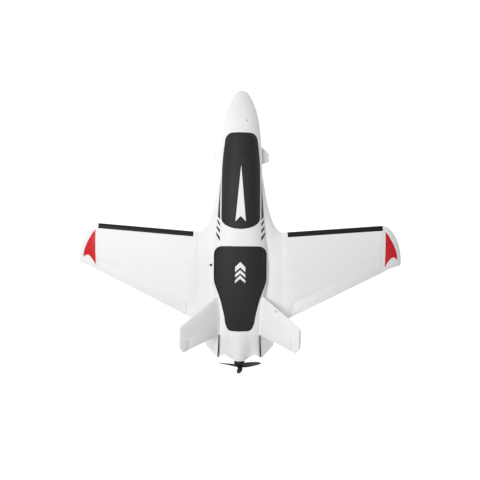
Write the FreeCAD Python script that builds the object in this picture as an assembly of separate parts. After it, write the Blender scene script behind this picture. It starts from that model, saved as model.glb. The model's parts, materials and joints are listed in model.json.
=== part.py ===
"""RC foam aeroplane: V-tail pusher with a blended fuselage, built as separate moulded foam pieces.

Millimetres.  +Z is up, the nose points along -Y, +X is the pilot's left.
The origin is on the ground under the middle of the overall length.
A station is a distance aft of the nose tip; y_at(station) turns it into Y.
"""
import FreeCAD, Part
import math
import os

from FreeCAD import Matrix, Rotation, Vector

# ---- driving dimensions -------------------------------------------------------------------
overall_length = 738.0          # nose tip to end of the propeller shaft
foam_wall = 9.0                 # fuselage skin
seam_nose_z = 44.0              # height of the moulding seam at the nose tip
thrust_z = 68.0                 # height of the motor axis
nacelle_end = 716.0             # station of the nacelle's open end
seam_slope = (thrust_z - seam_nose_z) / nacelle_end

wing_z = 60.0                   # chord plane of the wing
wing_root_x = 110.0             # joint between wing panel and fuselage stub
wing_tip_x = 374.0              # joint between wing panel and drooped tip
half_span = 422.5
wing_root_le = 377.0            # stations of the wing's edges at wing_root_x
wing_root_te = 612.0
wing_le_sweep = -0.0777         # station per unit of span, negative is forward
wing_te_sweep = -0.5008
wing_root_thick = 26.0
wing_tip_thick = 14.0
wing_camber = 0.018
trailing_edge_thick = 1.6

aileron_in_x = 139.5
aileron_out_x = 372.6
aileron_hinge_in = 561.0        # hinge stations at the two ends
aileron_hinge_out = 454.6
end_gap = 0.9                   # between a control surface's ends and the foam beside it
cove_gap = 0.4                  # round a control surface's nose

edge_strip_in_x = 123.5
edge_strip_width = 13.5
edge_strip_thick = 1.0

main_spar_station = 440.0
main_spar_r = 4.0
main_spar_half = 290.0
rear_spar_station = 520.0
rear_spar_r = 3.0
rear_spar_half = 165.0
tube_wall = 1.0

fin_dihedral = 40.0
fin_root_x = 52.0               # where the fin's plane starts on the shoulder
fin_root_z = 81.0
fin_span = 122.6
fin_root_le = 536.6
fin_tip_le = 610.0
fin_root_te = 642.8
fin_tip_te = 676.3
fin_corner_from = 111.0         # span where the tip's trailing corner is cut off
fin_corner_te = 657.6
fin_root_thick = 13.0
fin_tip_thick = 7.5
fin_tongue = 9.0                # root tongue sunk in the fuselage
rudder_in = 8.0
rudder_out = 97.0
rudder_hinge_in = 619.0
rudder_hinge_out = 640.6

hatch_gap = 0.6
hatch_thick = 10.0
hatch_ledge = 8.0
hatch_end_ledge = 15.0
hatch_lip = 0.4                 # between a hatch's underside and its ledge
magnet_r = 3.0
magnet_h = 2.0

front_hatch_from = 125.0
front_hatch_to = 369.0
front_hatch_half = 48.0
rear_hatch_from = 414.0
rear_hatch_to = 630.0
rear_hatch_half = 66.5

motor_face = 706.0              # station of the motor's mounting face
motor_r = 14.0
motor_length = 17.0
prop_r = 63.5
prop_hub_r = 7.0
prop_hub_length = 7.0
shaft_r = 2.5
firewall_thick = 4.0
motor_clear = 1.0

fit_gap = 0.05                  # running clearance on a pin or shaft
curve_tolerance = 0.02

# station, half width, top, bottom, squareness of the section
body_sections = [
    (0, 8, 50, 38, 2.0), (8, 16, 58, 31, 2.0), (20, 25, 66, 24, 2.0), (40, 34, 76.5, 16, 2.1),
    (72, 44, 88, 8.5, 2.2), (115, 50.5, 98, 2.0, 2.3), (165, 54, 105, -1.2, 2.4),
    (230, 56.5, 109.5, -1.2, 2.5), (320, 60, 111, -1.2, 2.5), (390, 65, 110.5, -1.2, 2.5),
    (440, 71, 109, -1.2, 2.5), (500, 71, 106, 2, 2.6), (545, 63.5, 103, 8, 2.8),
    (600, 57.5, 97, 20, 3.0), (640, 55, 90.5, 32, 3.2), (670, 54, 80, 45, 3.2),
    (694, 53, 71, 63, 3.2),
]
nacelle_sections = [(600, 24.0), (640, 23.0), (690, 19.0), (nacelle_end, 17.5)]
bay_stations = {"front": (138.0, 356.0), "rear": (408.0, 636.0)}
tray_gap = 6.0                  # open space left under an equipment tray
channel_half = 20.0             # half width of that space, which the battery strap passes
screw_room = (12.5, 2.5)        # radius and depth of the pocket for the motor screws' heads
fairing_stations = (378, 410, 450, 500, 550, 590, 609)
fairing_start = 0.94            # share of the body's half width where the shoulder begins
fairing_sink = 1.2              # its outer edge dips into the stub, so the surfaces cross cleanly
antenna_hole_r = 3.0
antenna_hole_at = (76.0, 463.0)
antenna_hole_floor = 68.0
nacelle_socket_r = motor_r + motor_clear


def y_at(station):
    return station - overall_length / 2


def seam_z(station):
    return seam_nose_z + seam_slope * station


def point(x, station, z):
    return Vector(x, y_at(station), z)


# ---- general shapes -----------------------------------------------------------------------
def closed_spline(points):
    curve = Part.BSplineCurve()
    curve.interpolate(points, PeriodicFlag=True)
    return Part.Wire([curve.toShape()])


def polygon(points):
    return Part.makePolygon(list(points) + [points[0]])


def prism(points, low, high):
    """Closed plan outline, as (x, station) pairs, raised from low to high."""
    face = Part.Face(polygon([point(x, s, low) for x, s in points]))
    return face.extrude(Vector(0, 0, high - low))


def wire_prism(wire, low, high):
    moved = wire.copy()
    moved.translate(Vector(0, 0, low))
    return Part.Face(moved).extrude(Vector(0, 0, high - low))


def rod(start, end, radius):
    axis = end - start
    return Part.makeCylinder(radius, axis.Length, start, axis)


def tube(start, end, outer, inner):
    over = (end - start).normalize() * 1.0
    return rod(start, end, outer).cut(rod(start - over, end + over, inner))


def block(low, high):
    size = high - low
    return Part.makeBox(size.x, size.y, size.z, low)


def join(shapes):
    shapes = list(shapes)
    out = shapes[0] if len(shapes) == 1 else shapes[0].fuse(shapes[1:])
    return out.removeSplitter()


def group(shapes):
    return Part.makeCompound([s for shape in shapes for s in shape.Solids])


def mirrored(shape):
    return shape.mirror(Vector(0, 0, 0), Vector(1, 0, 0))


def cable(points, radius, longest_reach=1000.0):
    """Round cable along straight runs joined by tangent arcs."""
    edges, here = [], points[0]
    for before, corner, after in zip(points, points[1:], points[2:]):
        into, out = (corner - before), (after - corner)
        turn = into.getAngle(out)
        reach = min(0.45 * min(into.Length, out.Length), longest_reach)
        start = corner - into.normalize() * reach
        end = corner + out.normalize() * reach
        toward = ((start + end) * 0.5 - corner).normalize()
        bend_r = reach / math.tan(turn / 2)
        on_arc = corner + toward * (math.hypot(reach, bend_r) - bend_r)
        edges.append(Part.LineSegment(here, start).toShape())
        edges.append(Part.Arc(start, on_arc, end).toShape())
        here = end
    edges.append(Part.LineSegment(here, points[-1]).toShape())
    path = Part.Wire(edges)
    profile = Part.Wire([Part.Circle(points[0], points[1] - points[0], radius).toShape()])
    return path.makePipeShell([profile], True, False)


# ---- aerofoils ----------------------------------------------------------------------------
def half_thickness(share, thick):
    """Half thickness at a share of the chord, with a blunt trailing edge."""
    c = share
    form = 0.2969 * math.sqrt(c) - 0.126 * c - 0.3516 * c**2 + 0.2843 * c**3 - 0.1036 * c**4
    return 5 * thick * form + trailing_edge_thick / 2 * c


def mean_line(share, camber):
    return 4 * camber * share * (1 - share)


def aerofoil(x, le, te, z, thick, camber=0.0, steps=14):
    """Section in a plane of constant x: two splines from the trailing edge, and its blunt end."""
    chord = te - le
    upper, lower = [], []
    for i in range(steps + 1):
        c = (1 - math.cos(math.pi * i / steps)) / 2
        middle = z + mean_line(c, camber) * chord
        half = half_thickness(c, thick)
        upper.append(point(x, le + c * chord, middle + half))
        lower.append(point(x, le + c * chord, middle - half))
    upper.reverse()
    over, under = Part.BSplineCurve(), Part.BSplineCurve()
    over.approximate(Points=upper, DegMax=5, Tolerance=curve_tolerance)
    under.approximate(Points=lower, DegMax=5, Tolerance=curve_tolerance)
    return Part.Wire([over.toShape(), under.toShape(),
                      Part.LineSegment(lower[-1], upper[0]).toShape()])


# ---- control surface, its hinges, servo and linkage, in one flat panel -----------------------
class ControlSurface:
    """A surface hinged in a flat panel whose chord plane is z = plane_z, for the +X side."""

    def __init__(self, plane_z, ends, edge_line, nose_r, servo, horn_r, servo_at, servo_ahead):
        (x0, s0), (x1, s1) = ends
        self.start, self.end = point(x0, s0, plane_z), point(x1, s1, plane_z)
        self.ends, self.edge_line, self.nose_r = (x0, x1), edge_line, nose_r
        self.plane_z, self.servo_size, self.horn_r = plane_z, servo, horn_r
        self.along = (self.end - self.start).normalize()
        self.aft = Vector(-self.along.y, self.along.x, 0)
        self.length = (self.end - self.start).Length
        self.servo_at, self.servo_ahead = servo_at * self.length, servo_ahead

    def at(self, span, aft, up):
        """Point from the hinge: span along it, aft of it, up from it."""
        return self.start + self.along * span + self.aft * aft + Vector(0, 0, up)

    def place(self, shape):
        """Moves a shape built with span on X, aft on Y and up on Z onto the hinge."""
        a, b = self.along, self.aft
        o = self.start
        move = Matrix(a.x, b.x, 0, o.x, a.y, b.y, 0, o.y, 0, 0, 1, o.z, 0, 0, 0, 1)
        return placed(shape, move)

    def radius(self, span):
        share = span / self.length
        return self.nose_r[0] + (self.nose_r[1] - self.nose_r[0]) * share

    def chord(self, span):
        """Distance from the hinge to the panel's trailing edge, square to the hinge."""
        (xa, sa), (xb, sb) = self.edge_line
        p = self.at(span, 0, 0)
        edge = Vector(xb - xa, sb - sa, 0)
        gap = Vector(xa - p.x, y_at(sa) - p.y, 0)
        return (gap.x * edge.y - gap.y * edge.x) / (self.aft.x * edge.y - self.aft.y * edge.x)

    def section(self, span):
        r, chord, edge = self.radius(span), self.chord(span), trailing_edge_thick / 2
        top, low = self.at(span, 0, r), self.at(span, 0, -r)
        te_top, te_low = self.at(span, chord, edge), self.at(span, chord, -edge)
        nose = Part.Arc(top, self.at(span, -r, 0), low)
        return Part.Wire([nose.toShape(), Part.LineSegment(low, te_low).toShape(),
                          Part.LineSegment(te_low, te_top).toShape(),
                          Part.LineSegment(te_top, top).toShape()])

    def slab(self, x_from, x_to):
        return block(Vector(x_from, -500, -300), Vector(x_to, 500, 300))

    def body(self):
        over = 25.0
        solid = Part.makeLoft([self.section(-over), self.section(self.length + over)], True, True)
        return solid.common(self.slab(*self.ends))

    def cove(self):
        """What the panel loses: the bay behind the hinge, and a round channel for the nose."""
        over = 25.0
        rings = [Part.Wire([Part.Circle(self.at(s, 0, 0), self.along,
                                        self.radius(s) + cove_gap).toShape()])
                 for s in (-over, self.length + over)]
        channel = Part.makeLoft(rings, True, True)
        far = 120.0
        bay = Part.Face(polygon([self.at(-over, 0, -60), self.at(self.length + over, 0, -60),
                                 self.at(self.length + over, far, -60), self.at(-over, far, -60)]))
        bay = bay.extrude(Vector(0, 0, 120))
        slab = self.slab(self.ends[0] - end_gap, self.ends[1] + end_gap)
        return channel.fuse(bay).common(slab)

    # hinge fittings: a fixed leaf with one knuckle, a moving leaf with two, and a pin
    pin_r, knuckle_r, leaf_t, leaf_reach = 0.75, 1.8, 1.0, 10.0
    fixed_half, moving_half, knuckle_gap = 2.0, 5.9, 0.3

    def hinge_spans(self):
        return [self.length * share for share in (0.1, 0.5, 0.9)]

    def fixed_leaf(self, span):
        h, t = self.fixed_half, self.leaf_t / 2
        knuckle = rod(Vector(span - h, 0, 0), Vector(span + h, 0, 0), self.knuckle_r)
        leaf = block(Vector(span - h, -self.leaf_reach - 2, -t), Vector(span + h, -1, t))
        hole = rod(Vector(span - h - 1, 0, 0), Vector(span + h + 1, 0, 0), self.pin_r)
        return self.place(knuckle.fuse(leaf).cut(hole))

    def moving_leaf(self, span):
        near, far, t = self.fixed_half + self.knuckle_gap, self.moving_half, self.leaf_t / 2
        parts = []
        for side in (-1, 1):
            a, b = sorted((span + side * near, span + side * far))
            parts.append(rod(Vector(a, 0, 0), Vector(b, 0, 0), self.knuckle_r))
            parts.append(block(Vector(a, 1, -t), Vector(b, 5, t)))
        parts.append(block(Vector(span - far, 4, -t), Vector(span + far, self.leaf_reach, t)))
        hole = rod(Vector(span - far - 1, 0, 0), Vector(span + far + 1, 0, 0),
                   self.pin_r + fit_gap)
        return self.place(join(parts).cut(hole))

    def pin(self, span):
        far = self.moving_half + 0.6
        return self.place(rod(Vector(span - far, 0, 0), Vector(span + far, 0, 0), self.pin_r))

    def hinge_slot(self, span):
        """Opening in the surface's nose for the fixed leaf, over the whole travel."""
        h, r = self.fixed_half + self.knuckle_gap, self.radius(span)
        up = r * math.sin(math.radians(30)) + self.leaf_t
        slot = block(Vector(span - h, -r - 1, -up), Vector(span + h, self.knuckle_r + 0.4, up))
        far = self.moving_half + 0.9
        hole = rod(Vector(span - far, 0, 0), Vector(span + far, 0, 0), self.pin_r + 0.3)
        return self.place(slot.fuse(hole))

    # servo on its side, output shaft parallel to the hinge, arm pointing down
    boss_r, shaft_out, arm_t = 3.0, 3.0, 1.6
    wire_r, wire_gap, wire_bend = 0.6, 0.6, 1.0

    def servo_frame(self):
        return self.servo_at, -self.servo_ahead

    def servo(self):
        span, aft = self.servo_frame()
        length, width, height = self.servo_size
        shaft_back = width / 2
        low = Vector(span - self.shaft_out - height, aft - shaft_back, -width / 2)
        high = Vector(span - self.shaft_out, aft + length - shaft_back, width / 2)
        case = block(low, high)
        case = case.makeFillet(0.8, [e for e in case.Edges if abs(e.tangentAt(0).x) > 0.9])
        lug_t, lug_out = 1.8, 4.2
        lug_x = high.x - height * 0.3
        lugs = block(Vector(lug_x - lug_t, low.y - lug_out, -width / 2 + 0.3),
                     Vector(lug_x, high.y + lug_out, width / 2 - 0.3))
        for y in (low.y - lug_out / 2, high.y + lug_out / 2):
            lugs = lugs.cut(rod(Vector(lug_x - 3, y, 0), Vector(lug_x + 1, y, 0), 1.0))
        boss = rod(Vector(high.x - 1, aft, 0), Vector(high.x + 0.8, aft, 0), self.boss_r + 1.4)
        bore = rod(Vector(high.x - 3, aft, 0), Vector(high.x + 2, aft, 0), 2.0 + fit_gap)
        return self.place(join([case, lugs, boss]).cut(bore))

    def servo_pocket(self):
        """Pocket open at the underside, and the slot that the arm swings in."""
        span, aft = self.servo_frame()
        length, width, height = self.servo_size
        shaft_back, c, deep = width / 2, 0.3, 40.0
        low = Vector(span - self.shaft_out - height - c, aft - shaft_back - c, -deep)
        high = Vector(span - self.shaft_out + c, aft + length - shaft_back + c, width / 2 + c)
        lug_x = high.x - c - height * 0.3
        lug = block(Vector(lug_x - 1.8 - c, low.y - 4.2 - c, -deep),
                    Vector(lug_x + c, high.y + 4.2 + c, width / 2 + c))
        arm_room = block(Vector(span - self.shaft_out, aft - 10, -deep),
                         Vector(span + self.arm_t + 4.2, aft + 10, self.boss_r + 1.0))
        return self.place(join([block(low, high), lug, arm_room]))

    def arm(self):
        span, aft = self.servo_frame()
        r, t = self.horn_r, self.arm_t
        hub = rod(Vector(span - 1.8, aft, 0), Vector(span + t, aft, 0), self.boss_r + 0.6)
        shaft = rod(Vector(span - self.shaft_out - 2.5, aft, 0), Vector(span, aft, 0), 2.0)
        tip = rod(Vector(span, aft, -r), Vector(span + t, aft, -r), 2.0)
        web = Part.Face(polygon([Vector(span, aft - 3.4, 0), Vector(span, aft + 3.4, 0),
                                 Vector(span, aft + 2.0, -r), Vector(span, aft - 2.0, -r)]))
        web = web.extrude(Vector(t, 0, 0))
        screw = rod(Vector(span + t, aft, 0), Vector(span + t + 1.0, aft, 0), 1.9)
        hole = rod(Vector(span - 1, aft, -r), Vector(span + t + 1, aft, -r),
                   self.wire_r + fit_gap)
        return self.place(join([hub, shaft, tip, web, screw]).cut(hole))

    def pushrod(self):
        """Straight wire with an end bent through the arm and an end bent through the horn."""
        span, aft = self.servo_frame()
        side, inner = span + self.arm_t + self.wire_gap + self.wire_r, span - 0.8
        corners = [Vector(inner, aft, -self.horn_r), Vector(side, aft, -self.horn_r),
                   Vector(side, 0, -self.horn_r), Vector(inner, 0, -self.horn_r)]
        return self.place(cable(corners, self.wire_r, self.wire_bend))

    def horn(self):
        span, _ = self.servo_frame()
        r, t, nose = self.horn_r, self.arm_t, self.radius(self.servo_at)
        sink = 1.5
        plate = Part.Face(polygon([Vector(span, 1.5, -nose + sink), Vector(span, 14, -nose + 2.4),
                                   Vector(span, 14, -nose - 0.2), Vector(span, 2.2, -r - 1.2),
                                   Vector(span, -1.9, -r - 0.6), Vector(span, -1.9, -r + 1.2)]))
        plate = plate.extrude(Vector(t, 0, 0))
        tip = rod(Vector(span, 0, -r), Vector(span + t, 0, -r), 2.2)
        hole = rod(Vector(span - 1, 0, -r), Vector(span + t + 1, 0, -r), self.wire_r + fit_gap)
        return self.place(join([plate, tip]).cut(hole))

    def parts(self, panel):
        """The panel with its cut-outs, the surface, and all fittings, keyed by a short name."""
        fixed = [self.fixed_leaf(s) for s in self.hinge_spans()]
        moving = [self.moving_leaf(s) for s in self.hinge_spans()]
        horn = self.horn()
        surface = self.body()
        for cutter in [self.hinge_slot(s) for s in self.hinge_spans()] + moving + [horn]:
            surface = surface.cut(cutter)
        panel = panel.cut(self.cove()).cut(self.servo_pocket())
        for leaf in fixed:
            panel = panel.cut(leaf)
        return {"panel": panel, "surface": surface, "fixed": group(fixed),
                "moving": group(moving), "pins": group([self.pin(s) for s in self.hinge_spans()]),
                "servo": self.servo(), "arm": self.arm(), "pushrod": self.pushrod(),
                "horn": horn}


def placed(shape, matrix):
    out = shape.copy()
    out.Placement = FreeCAD.Placement(matrix).multiply(out.Placement)
    return out


# ---- wing ---------------------------------------------------------------------------------
def wing_le(x):
    return wing_root_le + (x - wing_root_x) * wing_le_sweep


def wing_te(x):
    return wing_root_te + (x - wing_root_x) * wing_te_sweep


def wing_thick(x):
    share = (x - wing_root_x) / (wing_tip_x - wing_root_x)
    return wing_root_thick + share * (wing_tip_thick - wing_root_thick)


def wing_section(x, inset=0.0):
    """Wing section; an inset one is thinner and starts further aft."""
    return aerofoil(x, wing_le(x) + inset, wing_te(x), wing_z,
                    wing_thick(x) - 2 * inset, wing_camber)


def wing_solid(x_from, x_to, inset=0.0):
    return Part.makeLoft([wing_section(x_from, inset), wing_section(x_to, inset)], True, True)


def aileron_surface():
    ends = ((aileron_in_x, aileron_hinge_in), (aileron_out_x, aileron_hinge_out))
    radii = []
    for x, s in ends:
        share = (s - wing_le(x)) / (wing_te(x) - wing_le(x))
        radii.append(half_thickness(share, wing_thick(x)))
    camber_lift = mean_line(0.82, wing_camber) * 170
    edge = ((aileron_in_x, wing_te(aileron_in_x)), (aileron_out_x, wing_te(aileron_out_x)))
    return ControlSurface(wing_z + camber_lift, ends, edge, radii, (23.0, 12.0, 22.5),
                          15.0, 0.36, 58.0)


def wing_half():
    """Every piece of the +X wing panel, keyed by node stem."""
    foam = wing_solid(wing_root_x, wing_tip_x)
    edge_zone = prism([(edge_strip_in_x, wing_le(edge_strip_in_x) - 5),
                       (wing_tip_x - 1, wing_le(wing_tip_x - 1) - 5),
                       (wing_tip_x - 1, wing_le(wing_tip_x - 1) + edge_strip_width),
                       (edge_strip_in_x, wing_le(edge_strip_in_x) + edge_strip_width)], 0, 120)
    core = wing_solid(wing_root_x, wing_tip_x, edge_strip_thick)
    strip = foam.common(edge_zone).cut(core)
    foam = foam.cut(strip)
    for station, radius, reach in ((main_spar_station, main_spar_r, main_spar_half),
                                   (rear_spar_station, rear_spar_r, rear_spar_half)):
        foam = foam.cut(rod(point(wing_root_x - 1, station, wing_z),
                            point(reach, station, wing_z), radius))
    pieces = aileron_surface().parts(foam)
    return {"wing": pieces["panel"], "leading_edge_strip": strip, "aileron": pieces["surface"],
            "fixed": pieces["fixed"], "aileron_hinge_leaves": pieces["moving"],
            "pins": pieces["pins"], "aileron_servo": pieces["servo"],
            "aileron_servo_arm": pieces["arm"], "aileron_pushrod": pieces["pushrod"],
            "aileron_horn": pieces["horn"], "wingtip": wingtip()}


def wingtip():
    """Drooped tip: x, leading edge, trailing edge, drop and thickness at each section."""
    sections = [(wing_tip_x, wing_le(wing_tip_x), wing_te(wing_tip_x), 0.0, wing_tip_thick),
                (388, 362.0, 472.5, 0.8, 12.8), (400, 374.0, 467.0, 3.0, 11.0),
                (410, 391.0, 464.0, 6.5, 9.0), (418, 414.0, 461.5, 11.0, 6.5),
                (half_span, 436.0, 460.0, 15.0, 3.2)]
    wires = [aerofoil(x, le, te, wing_z - drop, thick, wing_camber)
             for x, le, te, drop, thick in sections]
    return Part.makeLoft(wires, True, False)


# ---- V-tail -------------------------------------------------------------------------------
def fin_matrix():
    """Turns a flat fin, span on X from 0, chord plane z = 0, up onto its shoulder."""
    turn = Rotation(Vector(0, 1, 0), -fin_dihedral)
    return FreeCAD.Placement(Vector(fin_root_x, 0, fin_root_z), turn).toMatrix()


def fin_line(root, tip, p):
    return root + (tip - root) * p / fin_span


def fin_section(p):
    le = fin_line(fin_root_le, fin_tip_le, p)
    te = fin_line(fin_root_te, fin_tip_te, p)
    return aerofoil(p, le, te, 0, fin_line(fin_root_thick, fin_tip_thick, p))


def fin_half():
    blank = Part.makeLoft([fin_section(-fin_tongue), fin_section(fin_span)], True, True)
    corner = prism([(fin_corner_from, fin_line(fin_root_te, fin_tip_te, fin_corner_from)),
                    (fin_span + 5, fin_corner_te - 5.3), (fin_span + 5, 720),
                    (fin_corner_from, 720)], -20, 20)
    blank = blank.cut(corner)
    hatch_side = wire_prism(hatch_wire_rear(hatch_gap, hatch_gap), 0, 200)
    blank = largest(blank.cut(placed(hatch_side, fin_matrix().inverse())))
    ends = ((rudder_in, rudder_hinge_in), (rudder_out, rudder_hinge_out))
    radii = []
    for p, s in ends:
        le, te = fin_line(fin_root_le, fin_tip_le, p), fin_line(fin_root_te, fin_tip_te, p)
        radii.append(half_thickness((s - le) / (te - le),
                                    fin_line(fin_root_thick, fin_tip_thick, p)))
    edge = tuple((p, fin_line(fin_root_te, fin_tip_te, p)) for p in (rudder_in, rudder_out))
    surface = ControlSurface(0.0, ends, edge, radii, (19.5, 8.2, 19.0), 11.0, 0.36, 44.0)
    pieces = surface.parts(blank)
    move = fin_matrix()
    names = {"panel": "tail_fin", "surface": "ruddervator", "moving": "ruddervator_hinge_leaves",
             "servo": "ruddervator_servo", "arm": "ruddervator_servo_arm",
             "pushrod": "ruddervator_pushrod", "horn": "ruddervator_horn",
             "fixed": "fixed", "pins": "pins"}
    out = {names[k]: placed(v, move) for k, v in pieces.items()}
    out["slot"] = placed(blank, move)
    return out, surface, move


# ---- small fins ---------------------------------------------------------------------------
canard_root_x, canard_tip_x = 44.0, 74.5
canard_root = (142.0, 200.0)
canard_tip = (167.0, 189.0)
canard_z, canard_droop = 48.0, 4.0
ventral_top = (57.5, 66.0)      # x and z of the ventral fin's root and tip
ventral_tip = (92.5, 0.0)
ventral_root_chord = (604.0, 706.0)
ventral_tip_chord = (628.0, 688.0)
ventral_thick = (8.0, 5.0)


def canard():
    root = aerofoil(canard_root_x, *canard_root, canard_z, 6.0)
    tip = aerofoil(canard_tip_x, *canard_tip, canard_z - canard_droop, 3.5)
    return Part.makeLoft([root, tip], True, True)


def ventral_fin():
    """Lies in a steep plane; built past both ends, then cut at the mount and at the ground."""
    rise = ventral_top[1] - ventral_tip[1]
    run = ventral_tip[0] - ventral_top[0]
    slope = math.degrees(math.atan2(rise, run))
    span = math.hypot(rise, run)
    over = 8.0 / span
    wires = []
    for share in (-over, 1 + over):
        le = ventral_root_chord[0] + share * (ventral_tip_chord[0] - ventral_root_chord[0])
        te = ventral_root_chord[1] + share * (ventral_tip_chord[1] - ventral_root_chord[1])
        thick = ventral_thick[0] + share * (ventral_thick[1] - ventral_thick[0])
        wires.append(aerofoil(share * span, le, te, 0, thick))
    fin = Part.makeLoft(wires, True, True)
    turn = Rotation(Vector(0, 1, 0), slope)
    move = FreeCAD.Placement(Vector(ventral_top[0], 0, ventral_top[1]), turn).toMatrix()
    fin = placed(fin, move)
    keep = block(Vector(0, -400, 0), Vector(200, 400, 120))
    return fin.common(keep)


def ventral_mount():
    """Black keel plate between the tail's flank and the ventral fin, thicker towards the rear."""
    inner = 54.4
    outline = [(638, 78.5), (646, 80.0), (648, 84.0), (672, 79.5), (706, 71.0), (706, 62.0),
               (672, 42.0), (638, 40.0)]
    face = Part.Face(polygon([point(inner, s, z) for s, z in outline]))
    plate = face.extrude(Vector(6, 0, 0))
    taper = prism([(inner - 1, 630), (inner + 1.6, 630), (inner + 4.6, 712), (inner - 1, 712)],
                  0, 120)
    return plate.common(taper)


# ---- fuselage -----------------------------------------------------------------------------
def body_wire(station, half, top, bottom, square, steps=28):
    middle = seam_z(station)
    points = []
    for i in range(steps):
        t = 2 * math.pi * i / steps
        c, s = math.cos(t), math.sin(t)
        reach = (top - middle) if s >= 0 else (middle - bottom)
        points.append(point(half * math.copysign(abs(c) ** (2 / square), c), station,
                            middle + reach * math.copysign(abs(s) ** (2 / square), s)))
    return closed_spline(points)


def body_size(station):
    """Section sizes at any station, between the listed ones."""
    for a, b in zip(body_sections, body_sections[1:]):
        if a[0] <= station <= b[0]:
            t = (station - a[0]) / (b[0] - a[0])
            return tuple(p + t * (q - p) for p, q in zip(a, b))
    raise ValueError(station)


def body_pod():
    return Part.makeLoft([body_wire(*s) for s in body_sections], True, False)


def nacelle():
    wires = [Part.Wire([Part.Circle(point(0, s, thrust_z), Vector(0, 1, 0), r).toShape()])
             for s, r in nacelle_sections]
    return Part.makeLoft(wires, True, False)


def strake(side):
    """Flare from the flank to the wing's leading edge."""
    outline = [(40, 230), (58, 230), (68, 292), (79, 334), (88, 356), (wing_root_x, 374),
               (wing_root_x, 400), (40, 400)]
    plate = prism([(side * x, s) for x, s in outline], wing_z - 7, wing_z + 3)
    return plate


def fairing(side):
    """Concave shoulder that runs from the flank out to the top of the wing stub."""
    wires = []
    for station in fairing_stations:
        _, half, top, _, square = body_size(station)
        x0 = fairing_start * half
        low = seam_z(station)
        z0 = low + (top - low) * (1 - fairing_start**square) ** (1 / square)
        share = (station - wing_root_le) / (wing_root_te - wing_root_le)
        share = min(max(share, 0.02), 0.98)
        chord = wing_root_te - wing_root_le
        z1 = wing_z + mean_line(share, wing_camber) * chord
        z1 += half_thickness(share, wing_root_thick) - fairing_sink
        run, rise = wing_root_x - fairing_sink - x0, z0 - z1
        curve = Part.BSplineCurve()
        curve.interpolate([point(side * (x0 + run * a), station, z1 + rise * b)
                           for a, b in ((0, 1), (0.22, 0.5), (0.5, 0.17), (1, 0))])
        x1 = x0 + run
        foot = [point(side * x1, station, z1), point(side * x1, station, wing_z),
                point(side * x0, station, wing_z), point(side * x0, station, z0)]
        wires.append(Part.Wire([curve.toShape()] + Part.makePolygon(foot).Edges))
    return Part.makeLoft(wires, True, False)


def wing_stub():
    wires = [wing_section(wing_root_x)]
    middle = aerofoil(0, wing_le(0), wing_te(0), wing_z, wing_thick(0), wing_camber)
    half = Part.makeLoft([middle, wires[0]], True, True)
    return half.fuse(mirrored(half))


def bay(name):
    """Hollow inside the fuselage, one wall in from the skin, with flat ends."""
    first, last = bay_stations[name]
    stations = [first] + [s[0] for s in body_sections if first + 12 < s[0] < last - 12] + [last]
    wires = []
    for station in stations:
        _, half, top, bottom, square = body_size(station)
        wires.append(body_wire(station, half - foam_wall, top - foam_wall,
                               bottom + foam_wall, square))
    return Part.makeLoft(wires, True, False)


def bay_floor(name, low):
    """Block that fills a bay below the given height, as its bearers."""
    first, last = bay_stations[name]
    return block(Vector(-90, y_at(first) - 1, -10), Vector(90, y_at(last) + 1, low))


def hatch_wire_front(grow=0.0, ends=0.0):
    """Front hatch outline, grown or shrunk all round, at z = 0."""
    half = front_hatch_half + grow
    a, b = front_hatch_from - ends, front_hatch_to + ends
    r, nose_half, crown = 20.0, 41.0 + grow, 27.0
    k = r * (1 - math.sqrt(0.5))
    right = [Part.LineSegment(point(0, a, 0), point(nose_half - r, a, 0)),
             Part.Arc(point(nose_half - r, a, 0), point(nose_half - k + 1, a + k, 0),
                      point(nose_half + 1.5, a + r + 6, 0)),
             Part.LineSegment(point(nose_half + 1.5, a + r + 6, 0), point(half, a + 75, 0)),
             Part.LineSegment(point(half, a + 75, 0), point(half, b - crown, 0)),
             Part.Arc(point(half, b - crown, 0), point(half * 0.66, b - crown * 0.23, 0),
                      point(0, b, 0))]
    return closed_both_sides(right)


def hatch_wire_rear(grow=0.0, ends=0.0):
    a, b = rear_hatch_from - ends, rear_hatch_to + ends
    half = rear_hatch_half + grow
    r, k = 21.0, 21.0 * (1 - math.sqrt(0.5))
    waist = Part.BSplineCurve()
    waist.interpolate([point(half, 500, 0), point(58 + grow, 527, 0), point(44 + grow, 572, 0),
                       point(36.5 + grow, b - 16, 0)])
    right = [Part.LineSegment(point(0, a, 0), point(half - r, a, 0)),
             Part.Arc(point(half - r, a, 0), point(half - k, a + k, 0), point(half, a + r, 0)),
             Part.LineSegment(point(half, a + r, 0), point(half, 500, 0)),
             waist,
             Part.Arc(point(36.5 + grow, b - 16, 0), point(33 + grow, b - 4, 0),
                      point(24 + grow, b, 0)),
             Part.LineSegment(point(24 + grow, b, 0), point(0, b, 0))]
    return closed_both_sides(right)


def closed_both_sides(curves):
    """Closed wire from curves that run down the +X side, and their mirror."""
    right = [c.toShape() for c in curves]
    left = [mirrored(e) for e in right]
    return Part.Wire(Part.__sortEdges__(right + left))


def skin_height(shape, x, station):
    """Height of a solid's top above a plan point."""
    line = Part.LineSegment(point(x, station, -50), point(x, station, 300)).toShape()
    return shape.common(line).BoundBox.ZMax


def hatch_cuts(skin, wire_function):
    """Hatch solid, its recess, and the hole inside its ledge."""
    lowered = skin.copy()
    lowered.translate(Vector(0, 0, -hatch_thick))
    lid = skin.common(wire_prism(wire_function(), 60, 200)).cut(lowered)
    sunk = skin.copy()
    sunk.translate(Vector(0, 0, -hatch_thick - hatch_lip))
    recess = wire_prism(wire_function(hatch_gap, hatch_gap), 60, 200).cut(sunk)
    hole = wire_prism(wire_function(-hatch_ledge, -hatch_end_ledge), 60, 200)
    return lid, recess, hole


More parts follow.
